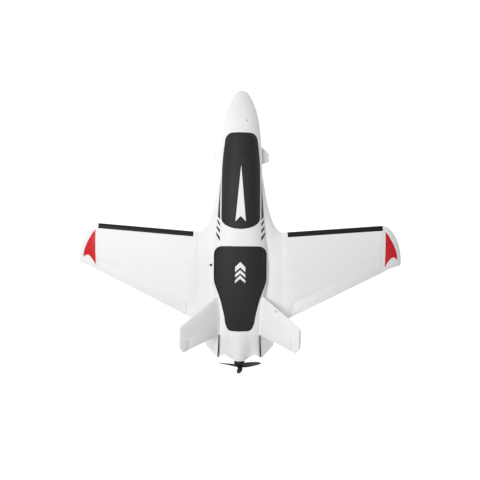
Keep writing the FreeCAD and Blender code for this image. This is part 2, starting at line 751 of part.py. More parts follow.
def magnets(skin, spots):
    """Magnet pairs at plan spots: in the lid, in the ledge, and the two pockets."""
    lid, ledge, lid_holes, ledge_holes = [], [], [], []
    for x, station in spots:
        under = skin_height(skin, x, station) - hatch_thick
        low = point(x, station, under + 1.5)
        lid.append(Part.makeCylinder(magnet_r, magnet_h, low))
        lid_holes.append(Part.makeCylinder(magnet_r, 20, low - Vector(0, 0, 20 - magnet_h)))
        seat = point(x, station, under - hatch_lip - 1.5 - magnet_h)
        ledge.append(Part.makeCylinder(magnet_r, magnet_h, seat))
        ledge_holes.append(Part.makeCylinder(magnet_r, 20, seat))
    return lid, ledge, lid_holes, ledge_holes


# ---- motor and propeller --------------------------------------------------------------------
def along_y(x, z, start, end, radius):
    return rod(point(x, start, z), point(x, end, z), radius)


def motor_parts():
    z = thrust_z
    bell_from, bell_to = motor_face + 3.0, motor_face + motor_length
    base = along_y(0, z, motor_face, motor_face + 2.5, motor_r - 1.0)
    bearing = along_y(0, z, motor_face, bell_to - 2.5, 4.2)
    core = along_y(0, z, motor_face + 4.0, bell_to - 3.2, motor_r - 2.6)
    stator = join([base, bearing, core])
    stator = stator.cut(along_y(0, z, motor_face - 1, bell_to, shaft_r + fit_gap))
    for x, dz in motor_screw_spots():
        stator = stator.cut(along_y(x, z + dz, motor_face - 1, motor_face + 3, 1.3))
    bell = along_y(0, z, bell_from, bell_to, motor_r)
    bell = bell.cut(along_y(0, z, bell_from - 1, bell_to - 2.0, motor_r - 1.8))
    for i in range(6):
        turn = math.radians(60 * i + 30)
        bell = bell.cut(along_y(8.6 * math.cos(turn), z + 8.6 * math.sin(turn),
                                bell_to - 3, bell_to + 1, 2.2))
    shaft = along_y(0, z, motor_face + 0.5, overall_length, shaft_r)
    return stator, join([bell, shaft])


def motor_screw_spots():
    return [(8.0, 0), (-8.0, 0), (0, 9.5), (0, -9.5)]


def firewall():
    z = thrust_z
    start = motor_face - firewall_thick
    plate = along_y(0, z, start, motor_face, nacelle_socket_r)
    wires = rod(point(0, start - 1, z - 5.5), point(0, motor_face + 1, z - 5.5), 1.5)
    plate = plate.cut(along_y(0, z, start - 1, motor_face + 1, 4.4)).cut(wires)
    screws = []
    for x, dz in motor_screw_spots():
        plate = plate.cut(along_y(x, z + dz, start - 1, motor_face + 1, 1.3))
        shank = along_y(x, z + dz, start, motor_face + 2.3, 1.25)
        head = along_y(x, z + dz, start - 1.8, start, 2.4)
        screws.append(join([shank, head]))
    return plate, group(screws)


def blade(turn_deg):
    """One blade pointing up, then turned about the shaft: radius, chord, pitch, thickness."""
    sections = [(5.0, 9.0, 52, 3.4), (14.0, 13.5, 42, 2.6), (28.0, 16.0, 31, 2.0),
                (46.0, 15.5, 23, 1.5), (58.0, 12.0, 19, 1.2), (prop_r, 6.0, 17, 0.8)]
    middle = motor_face + motor_length + 0.5 + prop_hub_length / 2
    wires = []
    for radius, chord, pitch, thick in sections:
        p = math.radians(pitch)
        points = []
        for i in range(12):
            t = 2 * math.pi * i / 12
            u, v = chord / 2 * math.cos(t), thick / 2 * math.sin(t)
            points.append(point(u * math.cos(p) - v * math.sin(p),
                                middle + u * math.sin(p) + v * math.cos(p),
                                thrust_z + radius))
        wires.append(polygon(points))
    solid = Part.makeLoft(wires, True, True)
    turned = solid.copy()
    turned.rotate(Vector(0, 0, thrust_z), Vector(0, 1, 0), turn_deg)
    return turned


def propeller():
    start = motor_face + motor_length + 0.5
    hub = along_y(0, thrust_z, start, start + prop_hub_length, prop_hub_r)
    out = join([hub] + [blade(120 * i) for i in range(3)])
    bore_r = shaft_r + fit_gap
    return out.cut(along_y(0, thrust_z, start - 1, start + prop_hub_length + 8, bore_r))


def prop_nut():
    start = motor_face + motor_length + 0.5 + prop_hub_length
    r = 4.6
    points = [Vector(r * math.cos(math.radians(60 * i)), y_at(start),
                     thrust_z + r * math.sin(math.radians(60 * i))) for i in range(6)]
    flange = along_y(0, thrust_z, start, start + 1.2, 5.4)
    nut = Part.Face(polygon(points)).extrude(Vector(0, 5.0, 0)).fuse(flange)
    return nut.cut(along_y(0, thrust_z, start - 1, start + 8, shaft_r))


# ---- equipment ------------------------------------------------------------------------------
battery_size = (35.0, 106.0, 27.0)
battery_from = 205.0
tray_thick = 2.0
front_tray_z = 16.0
rear_tray_z = 32.0
strap_width = 20.0
strap_thick = 1.2


def tray(half, first, last, z, slots):
    plate = prism([(-half, first), (half, first), (half, last), (-half, last)], z, z + tray_thick)
    for x, station, length, width in slots:
        plate = plate.cut(prism([(x - width / 2, station - length / 2),
                                 (x + width / 2, station - length / 2),
                                 (x + width / 2, station + length / 2),
                                 (x - width / 2, station + length / 2)], z - 1, z + 5))
    return plate


def equipment():
    w, length, h = battery_size
    top = front_tray_z + tray_thick
    middle = battery_from + length / 2
    pack = block(point(-w / 2, battery_from, top), point(w / 2, battery_from + length, top + h))
    pack = pack.makeFillet(2.0, pack.Edges)
    slot_x = w / 2 + strap_thick / 2
    slots = [(side * slot_x, middle, strap_width + 1, strap_thick + 0.8) for side in (-1, 1)]
    front = tray(30, 150, 345, front_tray_z, slots)
    outer = block(point(-w / 2 - strap_thick, middle - strap_width / 2,
                        front_tray_z - strap_thick),
                  point(w / 2 + strap_thick, middle + strap_width / 2, top + h + strap_thick))
    inner = block(point(-w / 2, middle - strap_width, front_tray_z),
                  point(w / 2, middle + strap_width, top + h))
    strap = outer.cut(inner)
    rear = tray(38, 418, 588, rear_tray_z, [(0, 455, 30, 10), (0, 500, 12, 40)])
    shelf = rear_tray_z + tray_thick
    return {"battery": pack, "battery_tray": front, "battery_strap": strap,
            "equipment_tray": rear, "receiver": rounded(receiver_box(shelf), 1.2),
            "speed_controller": rounded(esc_box(shelf), 1.5)}


def receiver_box(shelf):
    return block(point(-32, 462, shelf), point(-8, 500, shelf + 12))


def esc_box(shelf):
    return block(point(-14, 530, shelf), point(14, 582, shelf + 9))


def rounded(box, radius):
    return box.makeFillet(radius, box.Edges)


def motor_wires():
    """Three phase leads from the speed controller to the motor, through the nacelle."""
    start_z = rear_tray_z + tray_thick + 5
    out = []
    for x in (-3.4, 0.0, 3.4):
        z_end = thrust_z - 5.5 - 0.6 * (3.4 - abs(x))
        out.append(cable([point(x * 1.6, 582, start_z), point(x * 1.6, 592, start_z + 1.5),
                          point(x * 1.3, 612, z_end - 5), point(x, 632, z_end - 0.5),
                          point(x, 664, z_end),
                          point(x * 0.8, motor_face - firewall_thick - 2.2, z_end + 0.5)], 1.3))
    return group(out)


def power_lead():
    """Red and black leads from the battery through the bulkhead to the speed controller."""
    top = front_tray_z + tray_thick
    aft = battery_from + battery_size[1]
    leads = []
    for x in (-3.2, 3.2):
        leads.append(cable([point(x, aft, top + 20), point(x * 1.1, aft + 22, top + 22),
                            point(x, 352, 42), point(x, 400, 42.5), point(x * 1.1, 436, 44),
                            point(x * 1.4, 474, 43.5), point(x * 1.6, 506, 41),
                            point(x * 1.6, 530, 38.5)], 1.9))
    return group(leads)


# ---- assembly -------------------------------------------------------------------------------
def build():
    nodes = {}
    wing = wing_half()
    fin, fin_surface, fin_move = fin_half()

    for stem in ("wing", "leading_edge_strip", "aileron", "aileron_hinge_leaves",
                 "aileron_servo_arm", "aileron_pushrod", "aileron_horn", "wingtip"):
        nodes[stem + "_left"] = wing[stem]
        nodes[stem + "_right"] = mirrored(wing[stem])
    for stem in ("tail_fin", "ruddervator", "ruddervator_hinge_leaves",
                 "ruddervator_servo_arm", "ruddervator_pushrod", "ruddervator_horn"):
        nodes[stem + "_left"] = fin[stem]
        nodes[stem + "_right"] = mirrored(fin[stem])
    for stem, pieces in (("aileron_servo", wing), ("ruddervator_servo", fin)):
        nodes[stem + "s"] = group([pieces[stem], mirrored(pieces[stem])])
    fixed = [wing["fixed"], fin["fixed"]]
    pins = [wing["pins"], fin["pins"]]
    nodes["fixed_hinge_leaves"] = group(fixed + [mirrored(s) for s in fixed])
    nodes["hinge_pins"] = group(pins + [mirrored(s) for s in pins])

    pod = body_pod()
    skin = join([pod, nacelle()])
    solid = skin.fuse([wing_stub(), strake(1), strake(-1), fairing(1), fairing(-1)])
    solid = solid.cut(block(Vector(-200, -400, -50), Vector(200, 400, 0)))
    hollow = bay("front").cut(bay_floor("front", front_tray_z)).fuse(
        bay("rear").cut(bay_floor("rear", rear_tray_z)))
    channel_floor = block(point(-channel_half, 148, front_tray_z - tray_gap),
                          point(channel_half, 347, front_tray_z + 1))
    solid = solid.cut(hollow).cut(channel_floor)

    front_lid, front_recess, front_hole = hatch_cuts(skin, hatch_wire_front)
    rear_lid, rear_recess, rear_hole = hatch_cuts(skin, hatch_wire_rear)
    front_spots = [(x, s) for x in (-24, 24) for s in (front_hatch_from + 8, front_hatch_to - 12)]
    rear_spots = [(x, rear_hatch_from + 8) for x in (-36, 36)]
    rear_spots += [(x, rear_hatch_to - 8) for x in (-18, 18)]
    f_lid, f_ledge, f_lid_holes, f_ledge_holes = magnets(skin, front_spots)
    r_lid, r_ledge, r_lid_holes, r_ledge_holes = magnets(skin, rear_spots)
    for cutter in f_lid_holes:
        front_lid = front_lid.cut(cutter)
    for cutter in r_lid_holes:
        rear_lid = rear_lid.cut(cutter)
    cutters = [front_recess, front_hole, rear_recess, rear_hole] + f_ledge_holes + r_ledge_holes
    for cutter in cutters:
        solid = solid.cut(cutter)

    cutters = []
    for station, radius in ((main_spar_station, main_spar_r), (rear_spar_station, rear_spar_r)):
        cutters.append(rod(point(-wing_root_x - 1, station, wing_z),
                           point(wing_root_x + 1, station, wing_z), radius))
    mount = ventral_mount()
    cutters += [fin["slot"], mirrored(fin["slot"]), mount, mirrored(mount)]
    nodes["canard_left"] = canard()
    nodes["canard_right"] = mirrored(nodes["canard_left"])
    cutters += [nodes["canard_left"], nodes["canard_right"]]
    cutters.append(along_y(0, thrust_z, motor_face - firewall_thick, nacelle_end + 1,
                           nacelle_socket_r))
    cutters.append(along_y(0, thrust_z - 4, 630, motor_face, 8.5))
    cutters.append(along_y(0, thrust_z, motor_face - firewall_thick - screw_room[1], motor_face,
                           screw_room[0]))
    cutters.append(rod(point(0, 340, 42), point(0, 425, 42.5), 9.0))
    x, station = antenna_hole_at
    cutters.append(Part.makeCylinder(antenna_hole_r, 40, point(x, station, antenna_hole_floor)))
    cutters.append(Part.makeCylinder(1.5, 30, point(-14, 90, 75)))
    for cutter in cutters:
        solid = solid.cut(cutter)

    far, cut_y = 900.0, -overall_length / 2
    lower_box = block(Vector(-far, -far, -far), Vector(far, far, 0))
    lower_box.rotate(Vector(0, 0, 0), Vector(1, 0, 0), math.degrees(math.atan(seam_slope)))
    lower_box.translate(Vector(0, cut_y, seam_nose_z))
    nodes["fuselage_lower_shell"] = solid.common(lower_box)
    nodes["fuselage_upper_shell"] = solid.cut(lower_box)
    nodes["front_hatch"], nodes["rear_hatch"] = front_lid, rear_lid
    nodes["front_hatch_magnets"], nodes["rear_hatch_magnets"] = group(f_lid), group(r_lid)
    nodes["fuselage_magnets"] = group(f_ledge + r_ledge)

    nodes["ventral_fin_mounts"] = group([mount, mirrored(mount)])
    fin_blade = ventral_fin().cut(mount)
    outside = block(Vector(54.4, -400, -10), Vector(200, 400, 200))
    fin_blade = largest(fin_blade.common(outside).cut(solid))
    nodes["ventral_fin_left"], nodes["ventral_fin_right"] = fin_blade, mirrored(fin_blade)

    nodes["main_spar"] = tube(point(-main_spar_half, main_spar_station, wing_z),
                              point(main_spar_half, main_spar_station, wing_z),
                              main_spar_r, main_spar_r - tube_wall)
    nodes["rear_spar"] = tube(point(-rear_spar_half, rear_spar_station, wing_z),
                              point(rear_spar_half, rear_spar_station, wing_z),
                              rear_spar_r, rear_spar_r - tube_wall)
    nodes["firewall"], nodes["motor_screws"] = firewall()
    nodes["motor_stator"], nodes["motor_bell"] = motor_parts()
    nodes["propeller"], nodes["prop_nut"] = propeller(), prop_nut()
    nodes.update(equipment())
    nodes["motor_wires"], nodes["power_lead"] = motor_wires(), power_lead()
    report(nodes, aileron_surface(), fin_surface, fin_move)
    return nodes


def largest(shape):
    return max(shape.Solids, key=lambda s: s.Volume)


def report(nodes, wing_surface, fin_surface, fin_move):
    """Prints the joint axes, which are the +X side's; the other side mirrors them."""
    for name, surface, move in (("aileron", wing_surface, Matrix()),
                                ("ruddervator", fin_surface, fin_move)):
        span, aft = surface.servo_frame()
        axis = move.multVec(surface.at(1, 0, 0)) - move.multVec(surface.at(0, 0, 0))
        for label, p in (("hinge", surface.at(span, 0, 0)), ("arm", surface.at(span, aft, 0)),
                         ("rod", surface.at(span, aft, -surface.horn_r))):
            q = move.multVec(p)
            print(name, label, [round(v, 4) for v in q], "axis", [round(v, 6) for v in axis])


def main():
    os.makedirs("parts", exist_ok=True)
    for name, shape in build().items():
        if not shape.isValid() or not shape.Solids:
            print("CHECK", name, "valid", shape.isValid(), "solids", len(shape.Solids))
        shape.exportStep(os.path.join("parts", name + ".step"))
        box = shape.BoundBox
        print(f"{name:28s} solids {len(shape.Solids):2d} volume {shape.Volume / 1000:8.2f} cm3"
              f"  x {box.XMin:7.1f} {box.XMax:7.1f}  y {box.YMin:7.1f} {box.YMax:7.1f}"
              f"  z {box.ZMin:6.1f} {box.ZMax:6.1f}")


main()
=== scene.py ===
import bpy
import bmesh
import json
import math
import numpy as np
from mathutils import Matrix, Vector
from mathutils.bvhtree import BVHTree


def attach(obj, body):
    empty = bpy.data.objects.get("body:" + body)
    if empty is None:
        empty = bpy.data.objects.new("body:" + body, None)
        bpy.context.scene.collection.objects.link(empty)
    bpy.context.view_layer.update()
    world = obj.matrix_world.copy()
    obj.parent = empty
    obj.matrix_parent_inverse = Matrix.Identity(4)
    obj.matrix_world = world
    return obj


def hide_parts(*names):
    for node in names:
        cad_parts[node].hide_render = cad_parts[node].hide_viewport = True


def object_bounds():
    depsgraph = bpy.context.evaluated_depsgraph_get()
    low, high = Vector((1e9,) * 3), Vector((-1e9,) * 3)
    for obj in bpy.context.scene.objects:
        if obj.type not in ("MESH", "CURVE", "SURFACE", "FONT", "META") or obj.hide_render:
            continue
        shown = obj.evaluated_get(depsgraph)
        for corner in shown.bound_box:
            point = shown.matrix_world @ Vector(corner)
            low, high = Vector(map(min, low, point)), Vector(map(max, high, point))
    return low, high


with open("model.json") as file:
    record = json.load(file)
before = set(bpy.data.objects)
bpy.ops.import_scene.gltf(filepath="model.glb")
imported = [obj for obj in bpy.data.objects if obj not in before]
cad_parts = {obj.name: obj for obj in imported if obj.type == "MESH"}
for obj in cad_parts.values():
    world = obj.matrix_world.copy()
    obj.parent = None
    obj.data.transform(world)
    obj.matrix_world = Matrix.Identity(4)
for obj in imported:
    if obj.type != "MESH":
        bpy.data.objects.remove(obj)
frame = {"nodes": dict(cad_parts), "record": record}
nodes = frame["nodes"]
cadBox = [list(corner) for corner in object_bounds()]
halfLength = (cadBox[1][1] - cadBox[0][1]) / 2 * 1000
print("stage: frame loaded")

# camera, light and floor
view = {"place": (0.0013, 0.0286, 1.2885), "lens": 35.0, "sensor": 36.0, "roll": 0.55,
        "clip": (0.01, 50.0), "exposure": 0.0}
light = {"worldStrength": 0.28, "aim": (0, 0.05, 0.05),
         "lamps": {"keyLight": ((0.8, -0.3, 1.85), 1.2, 30.0),
                   "fillLight": ((-1.2, 0.8, 1.6), 1.4, 3.0)},
         "floorShade": 0.25, "floorGlow": 0.98, "floorHalf": 6, "floorDrop": 0.0006}


def makeCamera():
    data = bpy.data.cameras.new("camera")
    data.lens, data.sensor_width = view["lens"], view["sensor"]
    data.clip_start, data.clip_end = view["clip"]
    cam = bpy.data.objects.new("camera", data)
    cam.location = view["place"]
    cam.rotation_euler = (0.0, 0.0, math.radians(180.0 + view["roll"]))
    bpy.context.scene.collection.objects.link(cam)
    bpy.context.scene.camera = cam
    bpy.context.scene.view_settings.view_transform = "Standard"
    bpy.context.scene.view_settings.exposure = view["exposure"]


def areaLight(name, place, target, size, power):
    data = bpy.data.lights.new(name, "AREA")
    data.shape, data.size, data.energy = "DISK", size, power
    lamp = bpy.data.objects.new(name, data)
    lamp.location = place
    aim = Vector(target) - Vector(place)
    lamp.rotation_euler = aim.to_track_quat("-Z", "Y").to_euler()
    bpy.context.scene.collection.objects.link(lamp)


def makeLights():
    world = bpy.data.worlds.new("studio")
    world.use_nodes = True
    back = world.node_tree.nodes["Background"]
    back.inputs["Color"].default_value = (1.0, 1.0, 1.0, 1.0)
    back.inputs["Strength"].default_value = light["worldStrength"]
    bpy.context.scene.world = world
    for name, (spot, size, power) in light["lamps"].items():
        areaLight(name, spot, light["aim"], size, power)


# materials
def openGroup(name, ins):
    # a shader group that gives a colour, a roughness and a height
    tree = bpy.data.node_groups.new(name, "ShaderNodeTree")
    for label, kind, value in ins:
        made = tree.interface.new_socket(label, in_out="INPUT", socket_type="NodeSocket" + kind)
        made.default_value = value
    for label, kind in (("Color", "Color"), ("Roughness", "Float"), ("Height", "Float")):
        tree.interface.new_socket(label, in_out="OUTPUT", socket_type="NodeSocket" + kind)
    put, out = tree.nodes.new("NodeGroupInput"), tree.nodes.new("NodeGroupOutput")
    where = tree.nodes.new("ShaderNodeTexCoord").outputs["Object"]
    return tree, put.outputs, out.inputs, where


def noiseNode(tree, where, scale, detail):
    made = tree.nodes.new("ShaderNodeTexNoise")
    if isinstance(scale, float):
        made.inputs["Scale"].default_value = scale
    else:
        tree.links.new(scale, made.inputs["Scale"])
    made.inputs["Detail"].default_value = detail
    tree.links.new(where, made.inputs["Vector"])
    return made.outputs["Fac"]


def mathNode(tree, kind, a, b=None, c=None):
    made = tree.nodes.new("ShaderNodeMath")
    made.operation = kind
    for slot, value in enumerate((a, b, c)):
        if value is None:
            continue
        if isinstance(value, (int, float)):
            made.inputs[slot].default_value = value
        else:
            tree.links.new(value, made.inputs[slot])
    return made.outputs[0]


def foamGrainGroup():
    # fused foam beads: cell outlines, pressed flat by the mould, with a fine tooth over them
    tree, put, out, where = openGroup("foamGrain", [
        ("Color", "Color", (0.9, 0.9, 0.89, 1)), ("Bead size", "Float", 0.0034),
        ("Bead depth", "Float", 1.0), ("Shade change", "Float", 0.03)])
    beads = tree.nodes.new("ShaderNodeTexVoronoi")
    beads.feature = "DISTANCE_TO_EDGE"
    tree.links.new(where, beads.inputs["Vector"])
    tree.links.new(mathNode(tree, "DIVIDE", 1.0, put["Bead size"]), beads.inputs["Scale"])
    gap = mathNode(tree, "SMOOTH_MIN", beads.outputs["Distance"], 0.12, 0.1)
    tooth = noiseNode(tree, where, 2600.0, 2.0)
    cloud = noiseNode(tree, where, 22.0, 4.0)
    relief = mathNode(tree, "ADD", mathNode(tree, "MULTIPLY", gap, 7.0),
                      mathNode(tree, "MULTIPLY", tooth, 0.35))
    lift = mathNode(tree, "MULTIPLY_ADD", mathNode(tree, "SUBTRACT", cloud, 0.5),
                    put["Shade change"], 1.0)
    lines = mathNode(tree, "MULTIPLY_ADD", gap, 0.22, 0.974)
    colour = tree.nodes.new("ShaderNodeVectorMath")
    colour.operation = "SCALE"
    tree.links.new(put["Color"], colour.inputs[0])
    tree.links.new(mathNode(tree, "MULTIPLY", lift, lines), colour.inputs["Scale"])
    tree.links.new(colour.outputs[0], out["Color"])
    tree.links.new(mathNode(tree, "MULTIPLY_ADD", tooth, 0.12, 0.5), out["Roughness"])
    tree.links.new(mathNode(tree, "MULTIPLY", relief, put["Bead depth"]), out["Height"])
    return tree


def speckleGroup():
    # moulded or sprayed surface: fine tooth, faint cloudiness and a little dust
    tree, put, out, where = openGroup("fineTooth", [
        ("Color", "Color", (0.04, 0.04, 0.042, 1)), ("Dust", "Color", (0.3, 0.3, 0.3, 1)),
        ("Dust amount", "Float", 0.06), ("Base roughness", "Float", 0.4),
        ("Tooth scale", "Float", 1800.0)])
    tooth = noiseNode(tree, where, put["Tooth scale"], 3.0)
    cloud = noiseNode(tree, where, 35.0, 5.0)
    mix = tree.nodes.new("ShaderNodeMix")
    mix.data_type = "RGBA"
    tree.links.new(mathNode(tree, "MULTIPLY", cloud, put["Dust amount"]), mix.inputs["Factor"])
    tree.links.new(put["Color"], mix.inputs[6])
    tree.links.new(put["Dust"], mix.inputs[7])
    swing = mathNode(tree, "MULTIPLY", mathNode(tree, "SUBTRACT", cloud, 0.5), 0.16)
    tree.links.new(mix.outputs[2], out["Color"])
    tree.links.new(mathNode(tree, "ADD", put["Base roughness"], swing), out["Roughness"])
    tree.links.new(tooth, out["Height"])
    return tree


foamGrain, fineTooth = foamGrainGroup(), speckleGroup()


def newMaterial(name):
    made = bpy.data.materials.new(name)
    made.use_nodes = True
    return made, made.node_tree, made.node_tree.nodes["Principled BSDF"]


def bumpInto(tree, shader, height, strength, distance):
    bump = tree.nodes.new("ShaderNodeBump")
    bump.inputs["Strength"].default_value = strength
    bump.inputs["Distance"].default_value = distance
    tree.links.new(height, bump.inputs["Height"])
    tree.links.new(bump.outputs["Normal"], shader.inputs["Normal"])


def groupMaterial(name, group, values, strength, distance):
    made, tree, shader = newMaterial(name)
    grain = tree.nodes.new("ShaderNodeGroup")
    grain.node_tree = group
    for label, value in values.items():
        grain.inputs[label].default_value = value
    tree.links.new(grain.outputs["Color"], shader.inputs["Base Color"])
    tree.links.new(grain.outputs["Roughness"], shader.inputs["Roughness"])
    bumpInto(tree, shader, grain.outputs["Height"], strength, distance)
    return made, shader.inputs


def foamMaterial(name, colour):
    made, inputs = groupMaterial(name, foamGrain, {"Color": colour + (1,)}, 0.55, 0.00006)
    inputs["Specular IOR Level"].default_value = 0.35
    return made


def plasticMaterial(name, colour, roughness=0.4, dust=0.05, bump=0.2, depth=0.00003,
                    metallic=0.0, tooth=1800.0, dustColour=(0.32, 0.32, 0.31)):
    values = {"Color": colour + (1,), "Dust": dustColour + (1,), "Dust amount": dust,
              "Base roughness": roughness, "Tooth scale": tooth}
    made, inputs = groupMaterial(name, fineTooth, values, bump, depth)
    inputs["Metallic"].default_value = metallic
    inputs["Specular IOR Level"].default_value = 0.5 if metallic else 0.3
    return made


def weaveMaterial(name, dark, pale, step, coat):
    # carbon cloth: a fine checker turned through 45 degrees
    made, tree, shader = newMaterial(name)
    where = tree.nodes.new("ShaderNodeTexCoord").outputs["Object"]
    checker = tree.nodes.new("ShaderNodeTexChecker")
    checker.inputs["Scale"].default_value = 1.0 / step
    checker.inputs["Color1"].default_value = dark + (1,)
    checker.inputs["Color2"].default_value = pale + (1,)
    turn = tree.nodes.new("ShaderNodeMapping")
    turn.inputs["Rotation"].default_value = (0.0, 0.0, math.radians(45))
    tree.links.new(where, turn.inputs["Vector"])
    tree.links.new(turn.outputs["Vector"], checker.inputs["Vector"])
    tree.links.new(checker.outputs["Color"], shader.inputs["Base Color"])
    bumpInto(tree, shader, checker.outputs["Fac"], 0.3, 0.00005)
    shader.inputs["Roughness"].default_value = 0.35
    shader.inputs["Coat Weight"].default_value = coat
    return made


def plyMaterial(name):
    made, tree, shader = newMaterial(name)
    where = tree.nodes.new("ShaderNodeTexCoord").outputs["Object"]
    stretch = tree.nodes.new("ShaderNodeMapping")
    stretch.inputs["Scale"].default_value = (320.0, 22.0, 900.0)
    tree.links.new(where, stretch.inputs["Vector"])
    grain = noiseNode(tree, stretch.outputs["Vector"], 1.0, 6.0)
    ramp = tree.nodes.new("ShaderNodeValToRGB")
    ramp.color_ramp.elements[0].color = (0.42, 0.27, 0.14, 1)
    ramp.color_ramp.elements[0].position = 0.3
    ramp.color_ramp.elements[1].color = (0.72, 0.55, 0.36, 1)
    ramp.color_ramp.elements[1].position = 0.68
    tree.links.new(grain, ramp.inputs["Fac"])
    tree.links.new(ramp.outputs["Color"], shader.inputs["Base Color"])
    bumpInto(tree, shader, grain, 0.3, 0.0001)
    shader.inputs["Roughness"].default_value = 0.62
    return made


finishes = {
    "white_foam": foamMaterial("whiteFoam", (0.86, 0.86, 0.858)),
    "hatch_skin": plasticMaterial("hatchFilm", (0.016, 0.016, 0.017), 0.62, 0.02, 0.3, 0.00004),
    "edge_tape": plasticMaterial("edgeTape", (0.005, 0.005, 0.0055), 0.55, 0.02, 0.3, 0.00003),
    "magnet": plasticMaterial("nickel", (0.75, 0.76, 0.78), 0.18, 0.0, 0.05, 0.00001, metallic=1.0),
    "hinge_plastic": plasticMaterial("hingeNylon", (0.82, 0.82, 0.8), 0.45, 0.04),
    "steel_wire": plasticMaterial("drawnWire", (0.6, 0.61, 0.63), 0.28, 0.0, 0.15, metallic=1.0),
    "servo_case": plasticMaterial("servoCase", (0.02, 0.02, 0.022), 0.4, 0.06),
    "carbon_tube": weaveMaterial("carbonCloth", (0.008, 0.008, 0.009), (0.03, 0.03, 0.032),
                                 0.0016, 0.6),
    "black_plastic": plasticMaterial("keelPlastic", (0.012, 0.012, 0.013), 0.38, 0.05),
    "plywood": plyMaterial("birchPly"),
    "stator_metal": plasticMaterial("castAlloy", (0.5, 0.5, 0.52), 0.35, 0.03, 0.2, metallic=1.0),
    "black_metal": plasticMaterial("anodised", (0.016, 0.016, 0.018), 0.3, 0.03, metallic=0.6),
    "prop_plastic": plasticMaterial("propGloss", (0.004, 0.004, 0.0045), 0.42, 0.015, 0.1),
    "battery_wrap": plasticMaterial("batteryFilm", (0.05, 0.10, 0.30), 0.24, 0.03, 0.15),
    "strap_fabric": plasticMaterial("strapWeb", (0.02, 0.02, 0.022), 0.8, 0.1, 0.8, 0.0002,
                                    tooth=900.0),
    "receiver_case": plasticMaterial("receiverCase", (0.05, 0.05, 0.055), 0.42, 0.06),
    "esc_wrap": plasticMaterial("controllerFilm", (0.08, 0.085, 0.09), 0.2, 0.03),
    "wire_insulation": plasticMaterial("blackSilicone", (0.012, 0.012, 0.012), 0.5, 0.05),
    "lead_insulation": plasticMaterial("redSilicone", (0.42, 0.015, 0.012), 0.5, 0.05),
    "white_nylon": plasticMaterial("armNylon", (0.84, 0.84, 0.82), 0.42, 0.04),
    "horn_plastic": plasticMaterial("hornNylon", (0.02, 0.02, 0.022), 0.4, 0.05),
}
redTrim = plasticMaterial("redTrim", (0.62, 0.012, 0.02), 0.38, 0.02, 0.3, 0.00003)
copperWire = plasticMaterial("copperWire", (0.55, 0.2, 0.08), 0.25, 0.0, 0.1, metallic=1.0)
whiteTrim = plasticMaterial("whiteTrim", (0.86, 0.86, 0.86), 0.4, 0.02, 0.3, 0.00003)
blackTrim = plasticMaterial("blackTrim", (0.010, 0.010, 0.011), 0.42, 0.02, 0.3, 0.00003)
foamShade = foamMaterial("hatchFoam", (0.82, 0.82, 0.81))


def paintNodes():
    slotOf = {p["node"]: p["material_slot"] for p in frame["record"]["subparts"]}
    for name, obj in nodes.items():
        if not obj.material_slots:
            obj.data.materials.append(None)
        for slot in obj.material_slots:
            slot.material = finishes[slotOf[name]]


# shared mesh helpers
def place(x, s, z):
    return Vector((x / 1000, (s - halfLength) / 1000, z / 1000))


def curveThrough(xs, ys):
    # smooth curve through points that never swings past them
    xs, ys = np.array(xs, float), np.array(ys, float)
    h, d = np.diff(xs), np.diff(ys) / np.diff(xs)
    m = np.zeros(len(xs))
    for i in range(1, len(xs) - 1):
        if d[i - 1] * d[i] > 0:
            a, b = 2 * h[i] + h[i - 1], h[i] + 2 * h[i - 1]
            m[i] = (a + b) / (a / d[i - 1] + b / d[i])
    m[0], m[-1] = d[0], d[-1]

    def at(x):
        i = int(min(max(np.searchsorted(xs, x) - 1, 0), len(xs) - 2))
        t = min(max((x - xs[i]) / h[i], 0.0), 1.0)
        return float(ys[i] * (1 + 2 * t) * (1 - t) ** 2 + m[i] * h[i] * t * (1 - t) ** 2
                     + ys[i + 1] * t * t * (3 - 2 * t) - m[i + 1] * h[i] * t * t * (1 - t))
    return at


def softMax(a, b, reach):
    gap = np.maximum(reach - np.abs(a - b), 0.0) / reach
    return np.maximum(a, b) + gap * gap * reach / 4


def tidy(mesh, distance=1e-6):
    # joins doubled points and turns the faces outwards
    bm = bmesh.new()
    bm.from_mesh(mesh)
    bmesh.ops.remove_doubles(bm, verts=bm.verts, dist=distance)
    bmesh.ops.dissolve_degenerate(bm, edges=bm.edges, dist=1e-7)
    bmesh.ops.recalc_face_normals(bm, faces=bm.faces)
    bm.to_mesh(mesh)
    bm.free()


def cleanMesh(name, verts, faces, distance=1e-6):
    mesh = bpy.data.meshes.new(name)
    mesh.from_pydata([tuple(v) for v in verts], [], faces)
    tidy(mesh, distance)
    return mesh


def addObject(name, mesh):
    obj = bpy.data.objects.new(name, mesh)
    bpy.context.scene.collection.objects.link(obj)
    return obj


def finishObject(name, mesh, material, body, stands, smooth):
    obj = addObject(name, mesh)
    mesh.materials.clear()
    mesh.materials.append(material)
    mesh.shade_smooth()
    mesh.set_sharp_from_angle(angle=math.radians(smooth))
    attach(obj, body)
    if stands:
        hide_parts(*stands)
    return obj


def gridFaces(rows, count):
    # faces between closed rings that follow one another
    return [(i * count + j, i * count + (j + 1) % count, (i + 1) * count + (j + 1) % count,
             (i + 1) * count + j) for i in range(rows - 1) for j in range(count)]


def torusFaces(rows, count):
    # the same, with the last ring joined to the first
    return [(i * count + j, i * count + (j + 1) % count,
             (i + 1) % rows * count + (j + 1) % count, (i + 1) % rows * count + j)
            for i in range(rows) for j in range(count)]


def closedLoft(rings):
    # rings of equal length, capped at both ends
    count = len(rings[0])
    verts = [p for ring in rings for p in ring]
    faces = gridFaces(len(rings), count)
    faces.append(tuple(range(count)))
    last = (len(rings) - 1) * count
    faces.append(tuple(last + j for j in reversed(range(count))))
    return verts, faces


def scratch(name, verts, faces):
    return addObject(name, cleanMesh(name, verts, faces))


def drop(*objs):
    for obj in objs:
        bpy.data.objects.remove(obj, do_unlink=True)


